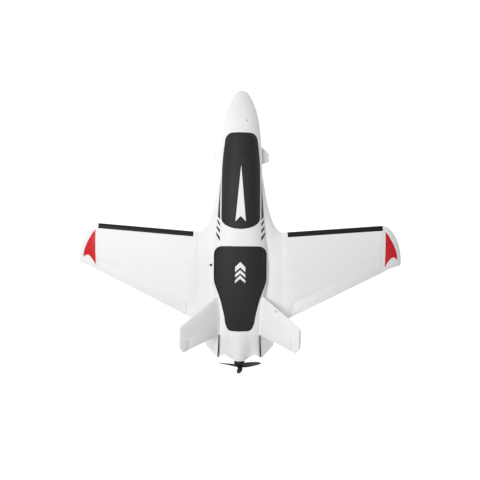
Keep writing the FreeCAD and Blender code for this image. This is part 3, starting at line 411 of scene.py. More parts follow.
def applyModifiers(obj):
    mesh = bpy.data.meshes.new_from_object(
        obj.evaluated_get(bpy.context.evaluated_depsgraph_get()))
    obj.modifiers.clear()
    old = obj.data
    obj.data = mesh
    bpy.data.meshes.remove(old)


def booleanOf(obj, cutters, kind="DIFFERENCE"):
    for cutter in cutters:
        step = obj.modifiers.new("cut", "BOOLEAN")
        step.operation, step.object, step.solver = kind, cutter, "MANIFOLD"
    bpy.context.view_layer.update()
    applyModifiers(obj)


def boxParts(low, high):
    (x0, s0, z0), (x1, s1, z1) = low, high
    verts = [place(x, s, z) for z in (z0, z1) for x, s in ((x0, s0), (x1, s0), (x1, s1), (x0, s1))]
    return verts, [(0, 3, 2, 1), (4, 5, 6, 7), (0, 1, 5, 4), (1, 2, 6, 5), (2, 3, 7, 6),
                   (3, 0, 4, 7)]


def cylinderMesh(name, start, end, radius, count=48):
    start, end = Vector(start), Vector(end)
    axis = (end - start).normalized()
    side = axis.orthogonal().normalized()
    up = axis.cross(side)
    rings = []
    for centre in (start, end):
        rings.append([centre + side * (radius * math.cos(2 * math.pi * j / count))
                      + up * (radius * math.sin(2 * math.pi * j / count)) for j in range(count)])
    return scratch(name, *closedLoft(rings))


# the fuselage's shape
shaftHeight = 68.0
nowhere = 900.0
hull = {
    "stations": [0, 8, 20, 40, 72, 115, 165, 230, 320, 390, 440, 470, 500, 545, 600, 640, 670,
                 690, 708],
    "half": [12, 17.5, 25, 34, 44, 50.5, 54, 56.5, 59, 64, 71, 72.5, 71, 63.5, 57.5, 55, 54, 53.5,
             53],
    "top": [53, 58, 66, 76.5, 88, 98, 105, 109.5, 111, 110.5, 109, 107.8, 106, 103, 97, 90, 80,
            73.5, 69.5],
    "bottom": [35, 31, 24, 16, 8.5, 2, -1.2, -1.2, -1.2, -1.2, -1.2, 0, 2, 8, 20, 32, 45, 57, 65],
    "square": [2, 2, 2, 2.1, 2.2, 2.3, 2.4, 2.5, 2.5, 2.5, 2.5, 2.5, 2.6, 2.8, 3, 3.2, 3.2, 3.2,
               3.2],
    "noseRound": 9.0, "shelfEnd": 712.0, "shelfRound": 6.0, "end": 714.0,
    "rearEdge": [(13.5, 711), (16, 709.8), (20, 707.6), (27, 703.4), (33, 699.5), (38, 696.5),
                 (43, 697.5), (48, 700.5), (53, 703.5), (60, 704), (130, 704)],
    "nacelle": [(560, 0.5), (585, 10), (610, 20), (640, 25), (680, 22), (714, 15.6)],
    "seamNose": 44.0, "seamSlope": 24.0 / 716, "noseOval": 2.4,
    "ridgeWide": 1.35, "ridgeFall": 0.9, "ridgeRound": (698, 712),
    "ridgeBlend": ([560, 640, 695, 714], [14, 18, 13, 6]), "underBlend": 10.0,
}
stub = {
    "z": 60.0, "edge": 110.0, "thick": 26.0, "camber": 0.018, "chord": 235.0, "endThick": 1.6,
    "leading": [(40, 150), (52, 205), (57.8, 233), (62.5, 263), (68.3, 295), (73.6, 316),
                (79.4, 336), (88, 357.5), (97.2, 369.5), (104, 374.5), (110, 377)],
    "trailing": [(40, 650), (54, 640), (80, 627), (110, 612)],
    "blend": {"least": 6.0, "more": 26.0, "from": 250, "rise": 130, "until": 640, "fall": 60},
}
at = {k: curveThrough(hull["stations"], hull[k]) for k in ("half", "top", "bottom", "square")}
nacelleRadius = curveThrough(*zip(*hull["nacelle"]))
stubLeading = curveThrough(*zip(*stub["leading"]))
stubTrailing = curveThrough(*zip(*stub["trailing"]))


def middleZ(s):
    return hull["seamNose"] + (shaftHeight - hull["seamNose"]) * s / hull["end"]


def capShare(s):
    # rounds the nose tip and the end of the tail shelf
    if s < hull["noseRound"]:
        return (1 - (1 - max(s, 0) / hull["noseRound"]) ** hull["noseOval"]) ** (
            1 / hull["noseOval"])
    start = hull["shelfEnd"] - hull["shelfRound"]
    if s > start:
        return math.sqrt(max(1 - ((s - start) / hull["shelfRound"]) ** 2, 0.0))
    return 1.0


def podHeights(x, s, grow=0.0):
    # heights of the plain body above and below its middle, at distance x from the centre line
    cap = capShare(s)
    half = max(at["half"](s) * cap + grow, 0.01)
    n, mid = at["square"](s), middleZ(s)
    up = max((at["top"](s) - mid) * cap + grow, 0.01)
    down = max((mid - at["bottom"](s)) * cap + grow, 0.01)
    ratio = np.abs(x) / half
    inside = np.clip(1 - np.minimum(ratio, 1.0) ** n, 0, 1) ** (1 / n)
    outside = np.where(ratio > 1, -(np.abs(x) - half) * 3.0, 0.0)
    return mid + up * inside + outside, mid - down * inside - outside


def podTop(x, s):
    return float(podHeights(np.array([x]), s)[0][0])


def wingHalfThick(share, thick):
    c = np.clip(share, 0, 1)
    form = (0.2969 * np.sqrt(c) - 0.126 * c - 0.3516 * c**2 + 0.2843 * c**3 - 0.1036 * c**4)
    return 5 * thick * form + stub["endThick"] / 2 * c


def stubHeights(x, s):
    lead = np.array([stubLeading(v) for v in np.abs(x)])
    trail = np.array([stubTrailing(v) for v in np.abs(x)])
    share = (s - lead) / (trail - lead)
    inside = (share > -1e-4) & (share < 1)
    share = np.maximum(share, 0)
    mid = stub["z"] + 4 * stub["camber"] * share * (1 - share) * stub["chord"]
    half = wingHalfThick(share, stub["thick"])
    return (np.where(inside, mid + half, -nowhere),
            np.where(inside, mid - half, nowhere), inside)


def widest(line, steps, holds):
    return next(x for x in np.linspace(stub["edge"], line[0][0], steps) if holds(x))


def hullSection(s, count, endCount):
    # half a section, from the crown out to the edge, and back in underneath to the keel
    half = at["half"](s) * capShare(s) if s < hull["shelfEnd"] else 0.0
    radius = nacelleRadius(s) if s > hull["nacelle"][0][0] else 0.0
    reach = max(half, radius * 0.999)
    lead, trail = stub["leading"], stub["trailing"]
    if lead[0][1] < s < lead[-1][1]:
        reach = max(reach, widest(lead, 561, lambda x: stubLeading(x) < s))
    elif lead[-1][1] <= s <= trail[-1][1]:
        reach = stub["edge"]
    elif trail[-1][1] < s < trail[0][1]:
        reach = max(reach, widest(trail, 281, lambda x: stubTrailing(x) > s))
    x = reach * np.sin(np.linspace(0, math.pi / 2, 240))
    top, low = podHeights(x, min(s, hull["shelfEnd"] - 0.05))
    if s >= hull["shelfEnd"]:
        top[:], low[:] = -nowhere, nowhere
    stubTop, stubLow, inside = stubHeights(x, s)
    b = stub["blend"]
    blend = b["least"] + b["more"] * min(max((s - b["from"]) / b["rise"], 0), 1) * min(
        max((b["until"] - s) / b["fall"], 0), 1)
    if inside.any():
        top = np.where(inside, softMax(top, stubTop, blend), top)
        low = np.where(inside, -softMax(-low, -stubLow, blend), low)
    if radius > 0:
        bulge = np.sqrt(np.clip(radius**2 - x**2, 0, None))
        steep = np.where(x > radius, -(x - radius) * 1.2, 0)
        wide = radius * hull["ridgeWide"]
        hill = np.where(x < wide, radius * np.cos(np.minimum(x / wide, 1) * math.pi / 2),
                        -(x - wide) * hull["ridgeFall"])
        endShare = float(np.interp(s, hull["ridgeRound"], [0, 1]))
        crown = hill + ((bulge + steep) - hill) * endShare
        top = softMax(top, shaftHeight + crown, float(np.interp(s, *hull["ridgeBlend"])))
        low = -softMax(-low, -(shaftHeight - bulge - steep), hull["underBlend"])
    low = np.maximum(low, 0.0)
    crossed = top < low
    centre = (top + low) / 2
    top, low = np.where(crossed, centre, top), np.where(crossed, centre, low)

    def spread(zs):
        run = np.concatenate([[0], np.cumsum(np.hypot(np.diff(x), np.diff(zs)))])
        want = np.linspace(0, run[-1], count)
        return list(zip(np.interp(want, run, x), np.interp(want, run, zs)))
    upper, lower = spread(top), spread(low)
    side = [(reach, top[-1] + (low[-1] - top[-1]) * j / endCount) for j in range(1, endCount)]
    return upper + side + lower[::-1]


def hullMesh():
    stations = list(np.concatenate([
        14 * (1 - np.cos(np.linspace(0, math.pi / 2, 18)))[1:], np.arange(17, 150, 4.5),
        np.arange(152, 366, 4.0), np.arange(366, 384, 1.2), np.arange(386, 606, 4.0),
        np.arange(606, 684, 2.4), np.arange(684, 701, 0.8), np.arange(702, hull["end"], 1.5),
        [hull["end"]]]))
    rings = []
    for s in stations:
        right = hullSection(s, 46, 6)
        left = [(-x, z) for x, z in reversed(right[1:-1])]
        rings.append([place(x, s, z) for x, z in right + left])
    tip = place(0, 0.0, middleZ(0))
    rings.insert(0, [tip] * len(rings[0]))
    verts, faces = closedLoft(rings)
    return scratch("hullOuter", verts, faces[:-2] + [faces[-1]])


# hatch outlines
frontHatch = {"from": 123.5, "to": 369.0, "half": 49.2, "noseHalf": 40.5, "corner": 18.0,
              "flank": [(142, 41.6), (163, 44.4), (192, 47.2), (222, 48.8), (260, 49.2),
                        (345, 49.2)],
              "crown": 27.0, "thick": 10.0, "gap": 0.6, "ledge": 8.0, "endLedge": 15.0}
rearHatch = {"from": 414.0, "to": 631.0, "half": 67.6, "corner": 21.0, "waist":
             [(67.6, 495), (66.6, 504), (59.5, 525), (50.5, 549.5), (44.4, 572.5), (40.0, 591),
              (36.8, 612)], "foot": 33.6, "footCorner": 14.0,
             "thick": 10.0, "gap": 0.6, "ledge": 8.0, "endLedge": 15.0}


def arcThrough(a, b, c, count):
    (ax, ay), (bx, by), (cx, cy) = a, b, c
    d = 2 * (ax * (by - cy) + bx * (cy - ay) + cx * (ay - by))
    ux = ((ax**2 + ay**2) * (by - cy) + (bx**2 + by**2) * (cy - ay)
          + (cx**2 + cy**2) * (ay - by)) / d
    uy = ((ax**2 + ay**2) * (cx - bx) + (bx**2 + by**2) * (ax - cx)
          + (cx**2 + cy**2) * (bx - ax)) / d
    r = math.hypot(ax - ux, ay - uy)
    t = [math.atan2(p[1] - uy, p[0] - ux) for p in (a, b, c)]
    t[1] = t[0] + (t[1] - t[0] + math.pi) % (2 * math.pi) - math.pi
    t[2] = t[1] + (t[2] - t[1] + math.pi) % (2 * math.pi) - math.pi
    return [(ux + r * math.cos(v), uy + r * math.sin(v)) for v in np.linspace(t[0], t[2], count)]


def roundCorner(centre, radius, start, end, count):
    return [(centre[0] + radius * math.cos(math.radians(v)),
             centre[1] + radius * math.sin(math.radians(v)))
            for v in np.linspace(start, end, count)]


def evenly(points, count):
    pts = np.array(points + [points[0]])
    run = np.concatenate([[0], np.cumsum(np.hypot(*np.diff(pts, axis=0).T))])
    want = np.linspace(0, run[-1], count + 1)[:-1]
    return np.stack([np.interp(want, run, pts[:, 0]), np.interp(want, run, pts[:, 1])], 1)


def offsetOutline(pts, distance):
    ahead, behind = np.roll(pts, -1, 0), np.roll(pts, 1, 0)
    along = ahead - behind
    along /= np.linalg.norm(along, axis=1)[:, None]
    out = np.stack([along[:, 1], -along[:, 0]], 1)
    centre = pts.mean(0)
    if ((pts - centre) * out).sum() < 0:
        out = -out
    return pts + out * distance


def frontOutline(count=240):
    h = frontHatch
    a, b, half, nose, r = h["from"], h["to"], h["half"], h["noseHalf"], h["corner"]
    flank = curveThrough(*zip(*h["flank"]))
    start = h["flank"][0]
    right = [(0, a), (nose - r, a)] + arcThrough(
        (nose - r, a), (nose - r * 0.293 + 0.6, a + r * 0.293), (start[1], start[0]), 12)[1:]
    right += [(flank(s), s) for s in np.linspace(start[0] + 3, b - h["crown"], 40)]
    right += [(half * math.cos(v), b - h["crown"] + h["crown"] * math.sin(v))
              for v in np.linspace(0, math.pi / 2, 22)][1:]
    return evenly(right + [(-x, s) for x, s in reversed(right[1:-1])], count)


def rearOutline(count=240):
    h = rearHatch
    a, b, half, r = h["from"], h["to"], h["half"], h["corner"]
    right = [(0, a), (half - r, a)] + roundCorner((half - r, a + r), r, -90, 0, 12)
    waist = curveThrough([s for _, s in h["waist"]], [x for x, _ in h["waist"]])
    right += [(waist(s), s) for s in np.linspace(497, 612, 30)]
    f, q = h["foot"], h["footCorner"]
    right += roundCorner((f - q, b - q), q, 10, 90, 12) + [(0, b + 0.6)]
    return evenly(right + [(-x, s) for x, s in reversed(right[1:-1])], count)


def surfaceRings(outline, heights, centre, insets, rings=22):
    # closed cap that follows a height function: rounded edge, then rings in to the middle
    verts, count = [], len(outline)
    for inset, sink in insets:
        for x, s in offsetOutline(outline, -inset):
            verts.append(place(x, s, heights(x, s) - sink))
    last = offsetOutline(outline, -insets[-1][0])
    sink = insets[-1][1]
    for k in range(1, rings):
        share = 1 - k / rings
        for x, s in centre + (last - centre) * share:
            verts.append(place(x, s, heights(x, s) - sink))
    verts.append(place(centre[0], centre[1], heights(centre[0], centre[1]) - sink))
    rows = len(insets) + rings - 1
    faces = gridFaces(rows, count)
    end = rows * count
    faces += [(end - count + j, end - count + (j + 1) % count, end) for j in range(count)]
    return verts, faces


def slabMesh(outline, topFn, lowFn, centre, topInsets, lowInsets, rings=22):
    top, topFaces = surfaceRings(outline, topFn, centre, topInsets, rings)
    low, lowFaces = surfaceRings(outline, lowFn, centre, lowInsets, rings)
    shift, count = len(top), len(outline)
    faces = topFaces + [tuple(i + shift for i in reversed(f)) for f in lowFaces]
    faces += [(j, (j + 1) % count, shift + (j + 1) % count, shift + j) for j in range(count)]
    return top + low, faces


def lidPiece(name, outline, h, body, stands):
    centre = np.array([0.0, (h["from"] + h["to"]) / 2])
    verts, faces = slabMesh(
        outline, podTop, podTop, centre,
        [(0.0, 1.5), (0.1, 0.9), (0.4, 0.4), (0.9, 0.1), (1.5, 0.0)],
        [(0.0, 9.0), (0.5, 9.7), (1.2, 10.0)])
    mesh = cleanMesh(name, verts, faces)
    obj = finishObject(name, mesh, finishes["hatch_skin"], body, stands, 40)
    mesh.materials.append(foamShade)
    for poly in mesh.polygons:
        if poly.normal.z < -0.3:
            poly.material_index = 1
    return obj


def recessCutter(name, outline, h):
    centre = np.array([0.0, (h["from"] + h["to"]) / 2])
    floor = h["thick"] + 0.4
    verts, faces = slabMesh(offsetOutline(outline, h["gap"]), lambda x, s: 150.0,
                            lambda x, s: podTop(x, s) - floor, centre, [(0.0, 0.0)], [(0.0, 0.0)])
    return scratch(name, verts, faces)


def throughCutter(name, outline, h, low):
    centre = np.array([0.0, (h["from"] + h["to"]) / 2])
    inner = offsetOutline(outline, -h["ledge"])
    length = (h["to"] - h["from"]) / 2
    inner[:, 1] = centre[1] + (inner[:, 1] - centre[1]) * (length - h["endLedge"]) / (
        length - h["ledge"])
    verts, faces = slabMesh(inner, lambda x, s: 140.0, lambda x, s: low, centre,
                            [(0.0, 0.0)], [(0.0, 0.0)], 4)
    return scratch(name, verts, faces)


def bayCutter(name, first, last, floor, wall=9.0):
    rings = []
    for s in np.linspace(first, last, 40):
        x = np.sin(np.linspace(0, math.pi / 2, 22)) * (at["half"](s) - wall)
        top, low = podHeights(x, s, -wall)
        low = np.maximum(low, floor)
        low = np.minimum(low, top)
        right = list(zip(x, top)) + [(x[-1], (top[-1] + low[-1]) / 2)] + list(zip(x, low))[::-1]
        left = [(-a, b) for a, b in reversed(right[1:-1])]
        rings.append([place(a, s, b) for a, b in right + left])
    return scratch(name, *closedLoft(rings))


def seamHalf(name, above):
    # everything above or below the moulding seam
    reach, tall = 200.0, 300.0
    first, last = -50, 800
    z0, z1 = (hull["seamNose"] + s * hull["seamSlope"] for s in (first, last))
    far = tall if above else -tall
    corners = [(first, z0), (last, z1), (last, far), (first, far)]
    rings = [[place(x, s, z) for s, z in corners] for x in (-reach, reach)]
    return scratch(name, *closedLoft(rings))


def roundedEdges(obj, width, angle=38, segments=2):
    step = obj.modifiers.new("roundEdges", "BEVEL")
    step.width, step.segments, step.limit_method = width, segments, "ANGLE"
    step.angle_limit = math.radians(angle)
    step.use_clamp_overlap = True
    applyModifiers(obj)


def rearEdgeCutter():
    # everything behind the scalloped rear edge
    edge = curveThrough(*zip(*hull["rearEdge"]))
    right = [(x, edge(x)) for x in np.concatenate([np.arange(13.5, 60, 1.2), [60, 129]])]
    outline = [(-x, s) for x, s in reversed(right)] + right + [(129, 740), (-129, 740)]
    low = [place(x, s, 20) for x, s in outline]
    high = [place(x, s, 120) for x, s in outline]
    return scratch("rearEdge", *closedLoft([low, high]))


cuts = {
    "bays": {"frontBay": (138, 356, 16), "rearBay": (408, 636, 32)},
    "channel": ((-14, 148, 10), (14, 347, 17)), "lidHoles": 60,
    "bores": {
        "leadHole": ((0, 340, 42), (0, 425, 42.5), 0.009, 48),
        "motorSocket": ((0, 702, 68), (0, 718, 68), 0.0146, 48),
        "screwRoom": ((0, 699.5, 68), (0, 703, 68), 0.0125, 48),
        "wireTunnel": ((0, 630, 64), (0, 706, 64), 0.0085, 48),
        "antennaHole": ((76, 463, 68), (76, 463, 110), 0.003, 48),
        "noseHole": ((-14, 90, 75), (-14, 90, 105), 0.0015, 24),
    },
}


def makeFuselage():
    front, rear = frontOutline(), rearOutline()
    outer = hullMesh()
    cutters = [bayCutter(name, *values) for name, values in cuts["bays"].items()]
    cutters.append(scratch("trayChannel", *boxParts(*cuts["channel"])))
    for label, outline, hatch in (("front", front, frontHatch), ("rear", rear, rearHatch)):
        cutters.append(recessCutter(label + "Recess", outline, hatch))
        cutters.append(throughCutter(label + "Hole", outline, hatch, cuts["lidHoles"]))
    cutters.append(rearEdgeCutter())
    cutters += [cylinderMesh(name, place(*start), place(*end), radius, count)
                for name, (start, end, radius, count) in cuts["bores"].items()]
    booleanOf(outer, cutters)
    for name, above, node in (("fuselageUpper", True, "fuselage_upper_shell"),
                              ("fuselageLower", False, "fuselage_lower_shell")):
        half = addObject(name, outer.data.copy())
        side = seamHalf(name + "Side", above)
        booleanOf(half, [side], "INTERSECT")
        drop(side)
        mesh = half.data.copy()
        drop(half)
        tidy(mesh, 2e-6)
        finishObject(name, mesh, finishes["white_foam"], "airframe", (node,), 32)
    drop(outer, *cutters)
    lidPiece("frontHatchLid", front, frontHatch, "front_lid", ("front_hatch",))
    lidPiece("rearHatchLid", rear, rearHatch, "rear_lid", ("rear_hatch",))


# flat marks laid on a surface
def surfaceOf(obj):
    # finds the top of a surface, and the way it faces, above a plan point
    tree = BVHTree.FromObject(obj, bpy.context.evaluated_depsgraph_get())

    def find(x, s):
        spot, normal, _, _ = tree.ray_cast(place(x, s, 400), Vector((0, 0, -1)))
        return spot, normal if normal.z > 0 else -normal
    return find


def layMark(name, outline, find, material, body, proud=0.14, deep=0.3, grid=3.0):
    # a thin skin cut to an outline, following a surface
    bm = bmesh.new()
    bm.faces.new([bm.verts.new((x, s, 0.0)) for x, s in outline])
    lows, highs = np.min(outline, axis=0), np.max(outline, axis=0)
    for axis, normal in ((0, (1, 0, 0)), (1, (0, 1, 0))):
        for v in np.arange(lows[axis] + grid, highs[axis], grid):
            spot = (v, 0, 0) if axis == 0 else (0, v, 0)
            bmesh.ops.bisect_plane(bm, geom=bm.verts[:] + bm.edges[:] + bm.faces[:], dist=1e-4,
                                   plane_co=spot, plane_no=normal)
    bmesh.ops.triangulate(bm, faces=bm.faces[:])
    bm.verts.ensure_lookup_table()
    bm.normal_update()
    flip = sum(f.normal.z * f.calc_area() for f in bm.faces) < 0
    found = [find(v.co.x, v.co.y) for v in bm.verts]
    upper = [spot + normal * (proud / 1000) for spot, normal in found]
    lower = [spot - normal * (deep / 1000) for spot, normal in found]
    count = len(upper)
    faces = []
    for f in bm.faces:
        ring = [v.index for v in f.verts]
        ring = ring[::-1] if flip else ring
        faces.append(tuple(ring))
        faces.append(tuple(i + count for i in reversed(ring)))
    for e in bm.edges:
        if len(e.link_faces) == 1:
            a, b = (v.index for v in e.verts)
            faces.append((a, b, b + count, a + count))
    bm.free()
    return finishObject(name, cleanMesh(name, upper + lower, faces, 1e-7), material, body, (), 60)


marks = {
    "arrow": [(0, 207.5), (13.3, 350.5), (0, 337.0), (-13.3, 350.5)],
    "chevronHalf": 13.0,
    "chevrons": [(453.0, 466.2, 479.0, 467.6), (473.3, 485.4, 492.7, 482.2),
                 (487.0, 499.8, 507.0, 496.0)],
    "stripe": [(52.0, 237.8), (54.2, 262), (56.4, 290), (58.6, 322), (59.6, 337), (52.8, 346),
               (52.9, 300), (52.6, 262)],
    "dashes": [[(61.1, 343.5), (61.1, 349.4), (52.8, 363.3), (52.8, 355)],
               [(62.1, 360.7), (62.1, 366.7), (52.8, 380.6), (52.8, 371.6)],
               [(63.7, 376.5), (63.7, 382.9), (52.8, 400.2), (52.8, 390.4)]],
    "tip": [(379.2, 372.7), (387, 381.5), (393.6, 392.4), (400.5, 404), (405.7, 414.4),
            (410, 424.5), (412.6, 433.6), (414.6, 446.6), (408.5, 441.4), (401.8, 439.5),
            (396, 441.8), (390.5, 447.6), (383.7, 457.6), (379.2, 467)],
    "pull": {"half": 11.0, "from": 156.0, "to": 179.0, "width": 2.2},
    "dimple": (0.0, 614.0, 4.2, 2.8),
}


def makeMarks():
    front = surfaceOf(bpy.data.objects["frontHatchLid"])
    rear = surfaceOf(bpy.data.objects["rearHatchLid"])
    shell = surfaceOf(bpy.data.objects["fuselageUpper"])
    layMark("arrowMark", marks["arrow"], front, whiteTrim, "front_lid")
    w = marks["chevronHalf"]
    for i, (apex, corner, foot, inner) in enumerate(marks["chevrons"]):
        points = [(0, apex), (w, corner), (w, foot), (0, inner), (-w, foot), (-w, corner)]
        layMark(f"chevronMark{i + 1}", points, rear, whiteTrim, "rear_lid")
    p = marks["pull"]
    a, b, low, high = p["half"], p["half"] - p["width"], p["from"], p["to"]
    pull = [(a, low), (a, high), (-a, high), (-a, low), (-b, low), (-b, high - p["width"]),
            (b, high - p["width"]), (b, low)]
    layMark("fingerPull", pull, front, blackTrim, "front_lid", 0.35)
    x, s, r, inner = marks["dimple"]
    for half in (1, -1):
        turns = np.linspace(-math.pi / 2, math.pi / 2, 17) * half
        ring = [(x + half * abs(r * math.cos(t)), s + r * math.sin(t)) for t in turns]
        ring += [(x + half * abs(inner * math.cos(t)), s + inner * math.sin(t))
                 for t in reversed(turns)]
        layMark(f"latchRing{(half + 3) // 2}", ring, rear, blackTrim, "rear_lid",
                0.3)
    for side, label in ((1, "Left"), (-1, "Right")):
        turn = (lambda pts: pts) if side > 0 else mirroredOutline
        layMark("stripe" + label, turn(marks["stripe"]), shell, blackTrim, "airframe",
                grid=2.0)
        for i, dash in enumerate(marks["dashes"]):
            layMark(f"dash{label}{i + 1}", turn(dash), shell, blackTrim, "airframe",
                    grid=2.0)
        tip = surfaceOf(bpy.data.objects["wingtip" + label])
        layMark("tipMark" + label, turn(marks["tip"]), tip, redTrim, "airframe")


def mirroredOutline(points):
    return [(-x, s) for x, s in reversed(points)]


# foam pieces taken from their nodes
softPieces = {
    "wing": ("wing", "airframe", 0.0006), "wingtip": ("wingtip", "airframe", 0.0005),
    "aileron": ("aileron", "aileron_{}_surface", 0.0004),
    "tailFin": ("tail_fin", "airframe", 0.0005),
    "ruddervator": ("ruddervator", "ruddervator_{}_surface", 0.0004),
    "canard": ("canard", "airframe", 0.0003), "ventralFin": ("ventral_fin", "airframe", 0.0005),
}


def softenedCopy(name, node, body, width, slot, angle=38.0):
    # the node's shape with its facets merged and its sharp edges rounded
    bm = bmesh.new()
    bm.from_mesh(nodes[node].data)
    bmesh.ops.remove_doubles(bm, verts=bm.verts, dist=2e-6)
    bmesh.ops.dissolve_limit(bm, angle_limit=math.radians(0.6), verts=bm.verts, edges=bm.edges)
    mesh = bpy.data.meshes.new(name)
    bm.to_mesh(mesh)
    bm.free()
    mesh.transform(nodes[node].matrix_world)
    obj = addObject(name, mesh)
    roundedEdges(obj, width, angle)
    made = obj.data.copy()
    drop(obj)
    bm = bmesh.new()
    bm.from_mesh(made)
    bmesh.ops.triangulate(bm, faces=[f for f in bm.faces if len(f.verts) > 4])
    bmesh.ops.remove_doubles(bm, verts=bm.verts, dist=1e-7)
    bm.to_mesh(made)
    bm.free()
    return finishObject(name, made, finishes[slot], body, (node,), 30)


tipReach = {"from": 389.0, "stretch": 1.13}


def reachFurther(obj):
    # the tips beyond the tip line are drawn out a little
    for vertex in obj.data.vertices:
        x = abs(vertex.co.x) * 1000
        if x > tipReach["from"]:
            x = tipReach["from"] + (x - tipReach["from"]) * tipReach["stretch"]
            vertex.co.x = math.copysign(x, vertex.co.x) / 1000


def makeFoamPieces():
    for name, (stem, body, width) in softPieces.items():
        for side in ("left", "right"):
            made = softenedCopy(name + side.capitalize(), f"{stem}_{side}",
                                body.format(side), width, "white_foam")
            if name == "wingtip":
                reachFurther(made)


# motor and propeller
prop = {"front": 723.5, "length": 7.0, "blades": 3, "camber": 0.06, "sweep": 0.10,
        "sections": [(4.5, 9.0, 52, 4.0), (10, 12.0, 46, 3.6), (18, 15.2, 38, 3.0),
                     (28, 16.8, 31, 2.6), (38, 16.8, 26, 2.3), (48, 15.6, 22, 2.1),
                     (57, 13.2, 19.5, 1.9), (62, 10.4, 18, 1.6), (65, 5.6, 17.5, 1.2),
                     (65.5, 1.6, 17.5, 0.8)],
        "tipRadii": [60, 61.8, 63.2, 64.2, 64.9, 65.3, 65.5]}
motor = {"face": 706.0, "bellFrom": 709.0, "bellTo": 723.0, "radius": 14.0, "wall": 1.8,
         "magnets": 14, "teeth": 12, "shaft": 2.5, "shaftEnd": 738.0, "spokes": 6}


def aboutShaft(radius, angle, station):
    return place(radius * math.cos(angle), station, shaftHeight + radius * math.sin(angle))


def turnedMesh(profile, count=72):
    # closed ring-shaped solid, turned about the motor shaft from (station, radius) points
    verts = [aboutShaft(r, 2 * math.pi * j / count, s) for s, r in profile for j in range(count)]
    return verts, torusFaces(len(profile), count)


def wedge(mid, stations, sides):
    # a block between two stations, its inner and outer sides given as (radius, half angle)
    verts = [aboutShaft(radius, mid + w, station) for station in stations
             for radius, half in sides for w in (-half, half)]
    return verts, [(0, 1, 3, 2), (4, 6, 7, 5), (0, 4, 5, 1), (2, 3, 7, 6), (0, 2, 6, 4),
                   (1, 5, 7, 3)]


def joinedObject(name, parts, slot, body="airframe", stands=(), smooth=35.0, width=0.0,
                 material=None):
    verts, faces = [], []
    for v, f in parts:
        shift = len(verts)
        verts += v
        faces += [tuple(i + shift for i in face) for face in f]
    mesh = cleanMesh(name, verts, faces, 1e-7)
    if width:
        rough = addObject(name + "Rough", mesh)
        roundedEdges(rough, width, 40)
        mesh = rough.data.copy()
        drop(rough)
    return finishObject(name, mesh, material or finishes[slot], body, stands, smooth)


def bladeMesh(turn, count=28):
    radii, *columns = zip(*prop["sections"])
    chordAt, pitchAt, thickAt = (curveThrough(radii, column) for column in columns)
    middle = prop["front"] + prop["length"] / 2
    rings = []
    for radius in list(np.linspace(radii[0], 58, 24)) + prop["tipRadii"]:
        chord, pitch, thick = chordAt(radius), math.radians(pitchAt(radius)), thickAt(radius)
        ring = []
        for k in range(count):
            t = 2 * math.pi * k / count
            u = chord / 2 * math.cos(t)
            lift = prop["camber"] * chord * (1 - (2 * u / chord) ** 2)
            v = thick / 2 * math.sin(t) * (1.0 + 0.25 * math.cos(t)) + lift
            across = u * math.cos(pitch) - v * math.sin(pitch) - prop["sweep"] * (
                chord - columns[0][0])
            back = u * math.sin(pitch) + v * math.cos(pitch)
            ring.append(place(across * math.cos(turn) + radius * math.sin(turn), middle + back,
                              shaftHeight - across * math.sin(turn) + radius * math.cos(turn)))
        rings.append(ring)
    return closedLoft(rings)


def makePropeller():
    a, b, bore = prop["front"], prop["front"] + prop["length"], motor["shaft"] + 0.05
    hub = [(a, bore), (a, 6.0), (a + 0.6, 6.8), (a + 1.2, 7.0), (b - 1.2, 7.0), (b - 0.5, 6.7),
           (b, 6.0), (b, 4.4), (b - 0.8, 4.2), (b - 0.8, bore)]
    parts = [turnedMesh(hub)]
    parts += [bladeMesh(2 * math.pi * i / prop["blades"]) for i in range(prop["blades"])]
    joinedObject("propellerMoulding", parts, "prop_plastic", "rotor", ("propeller",), 40)


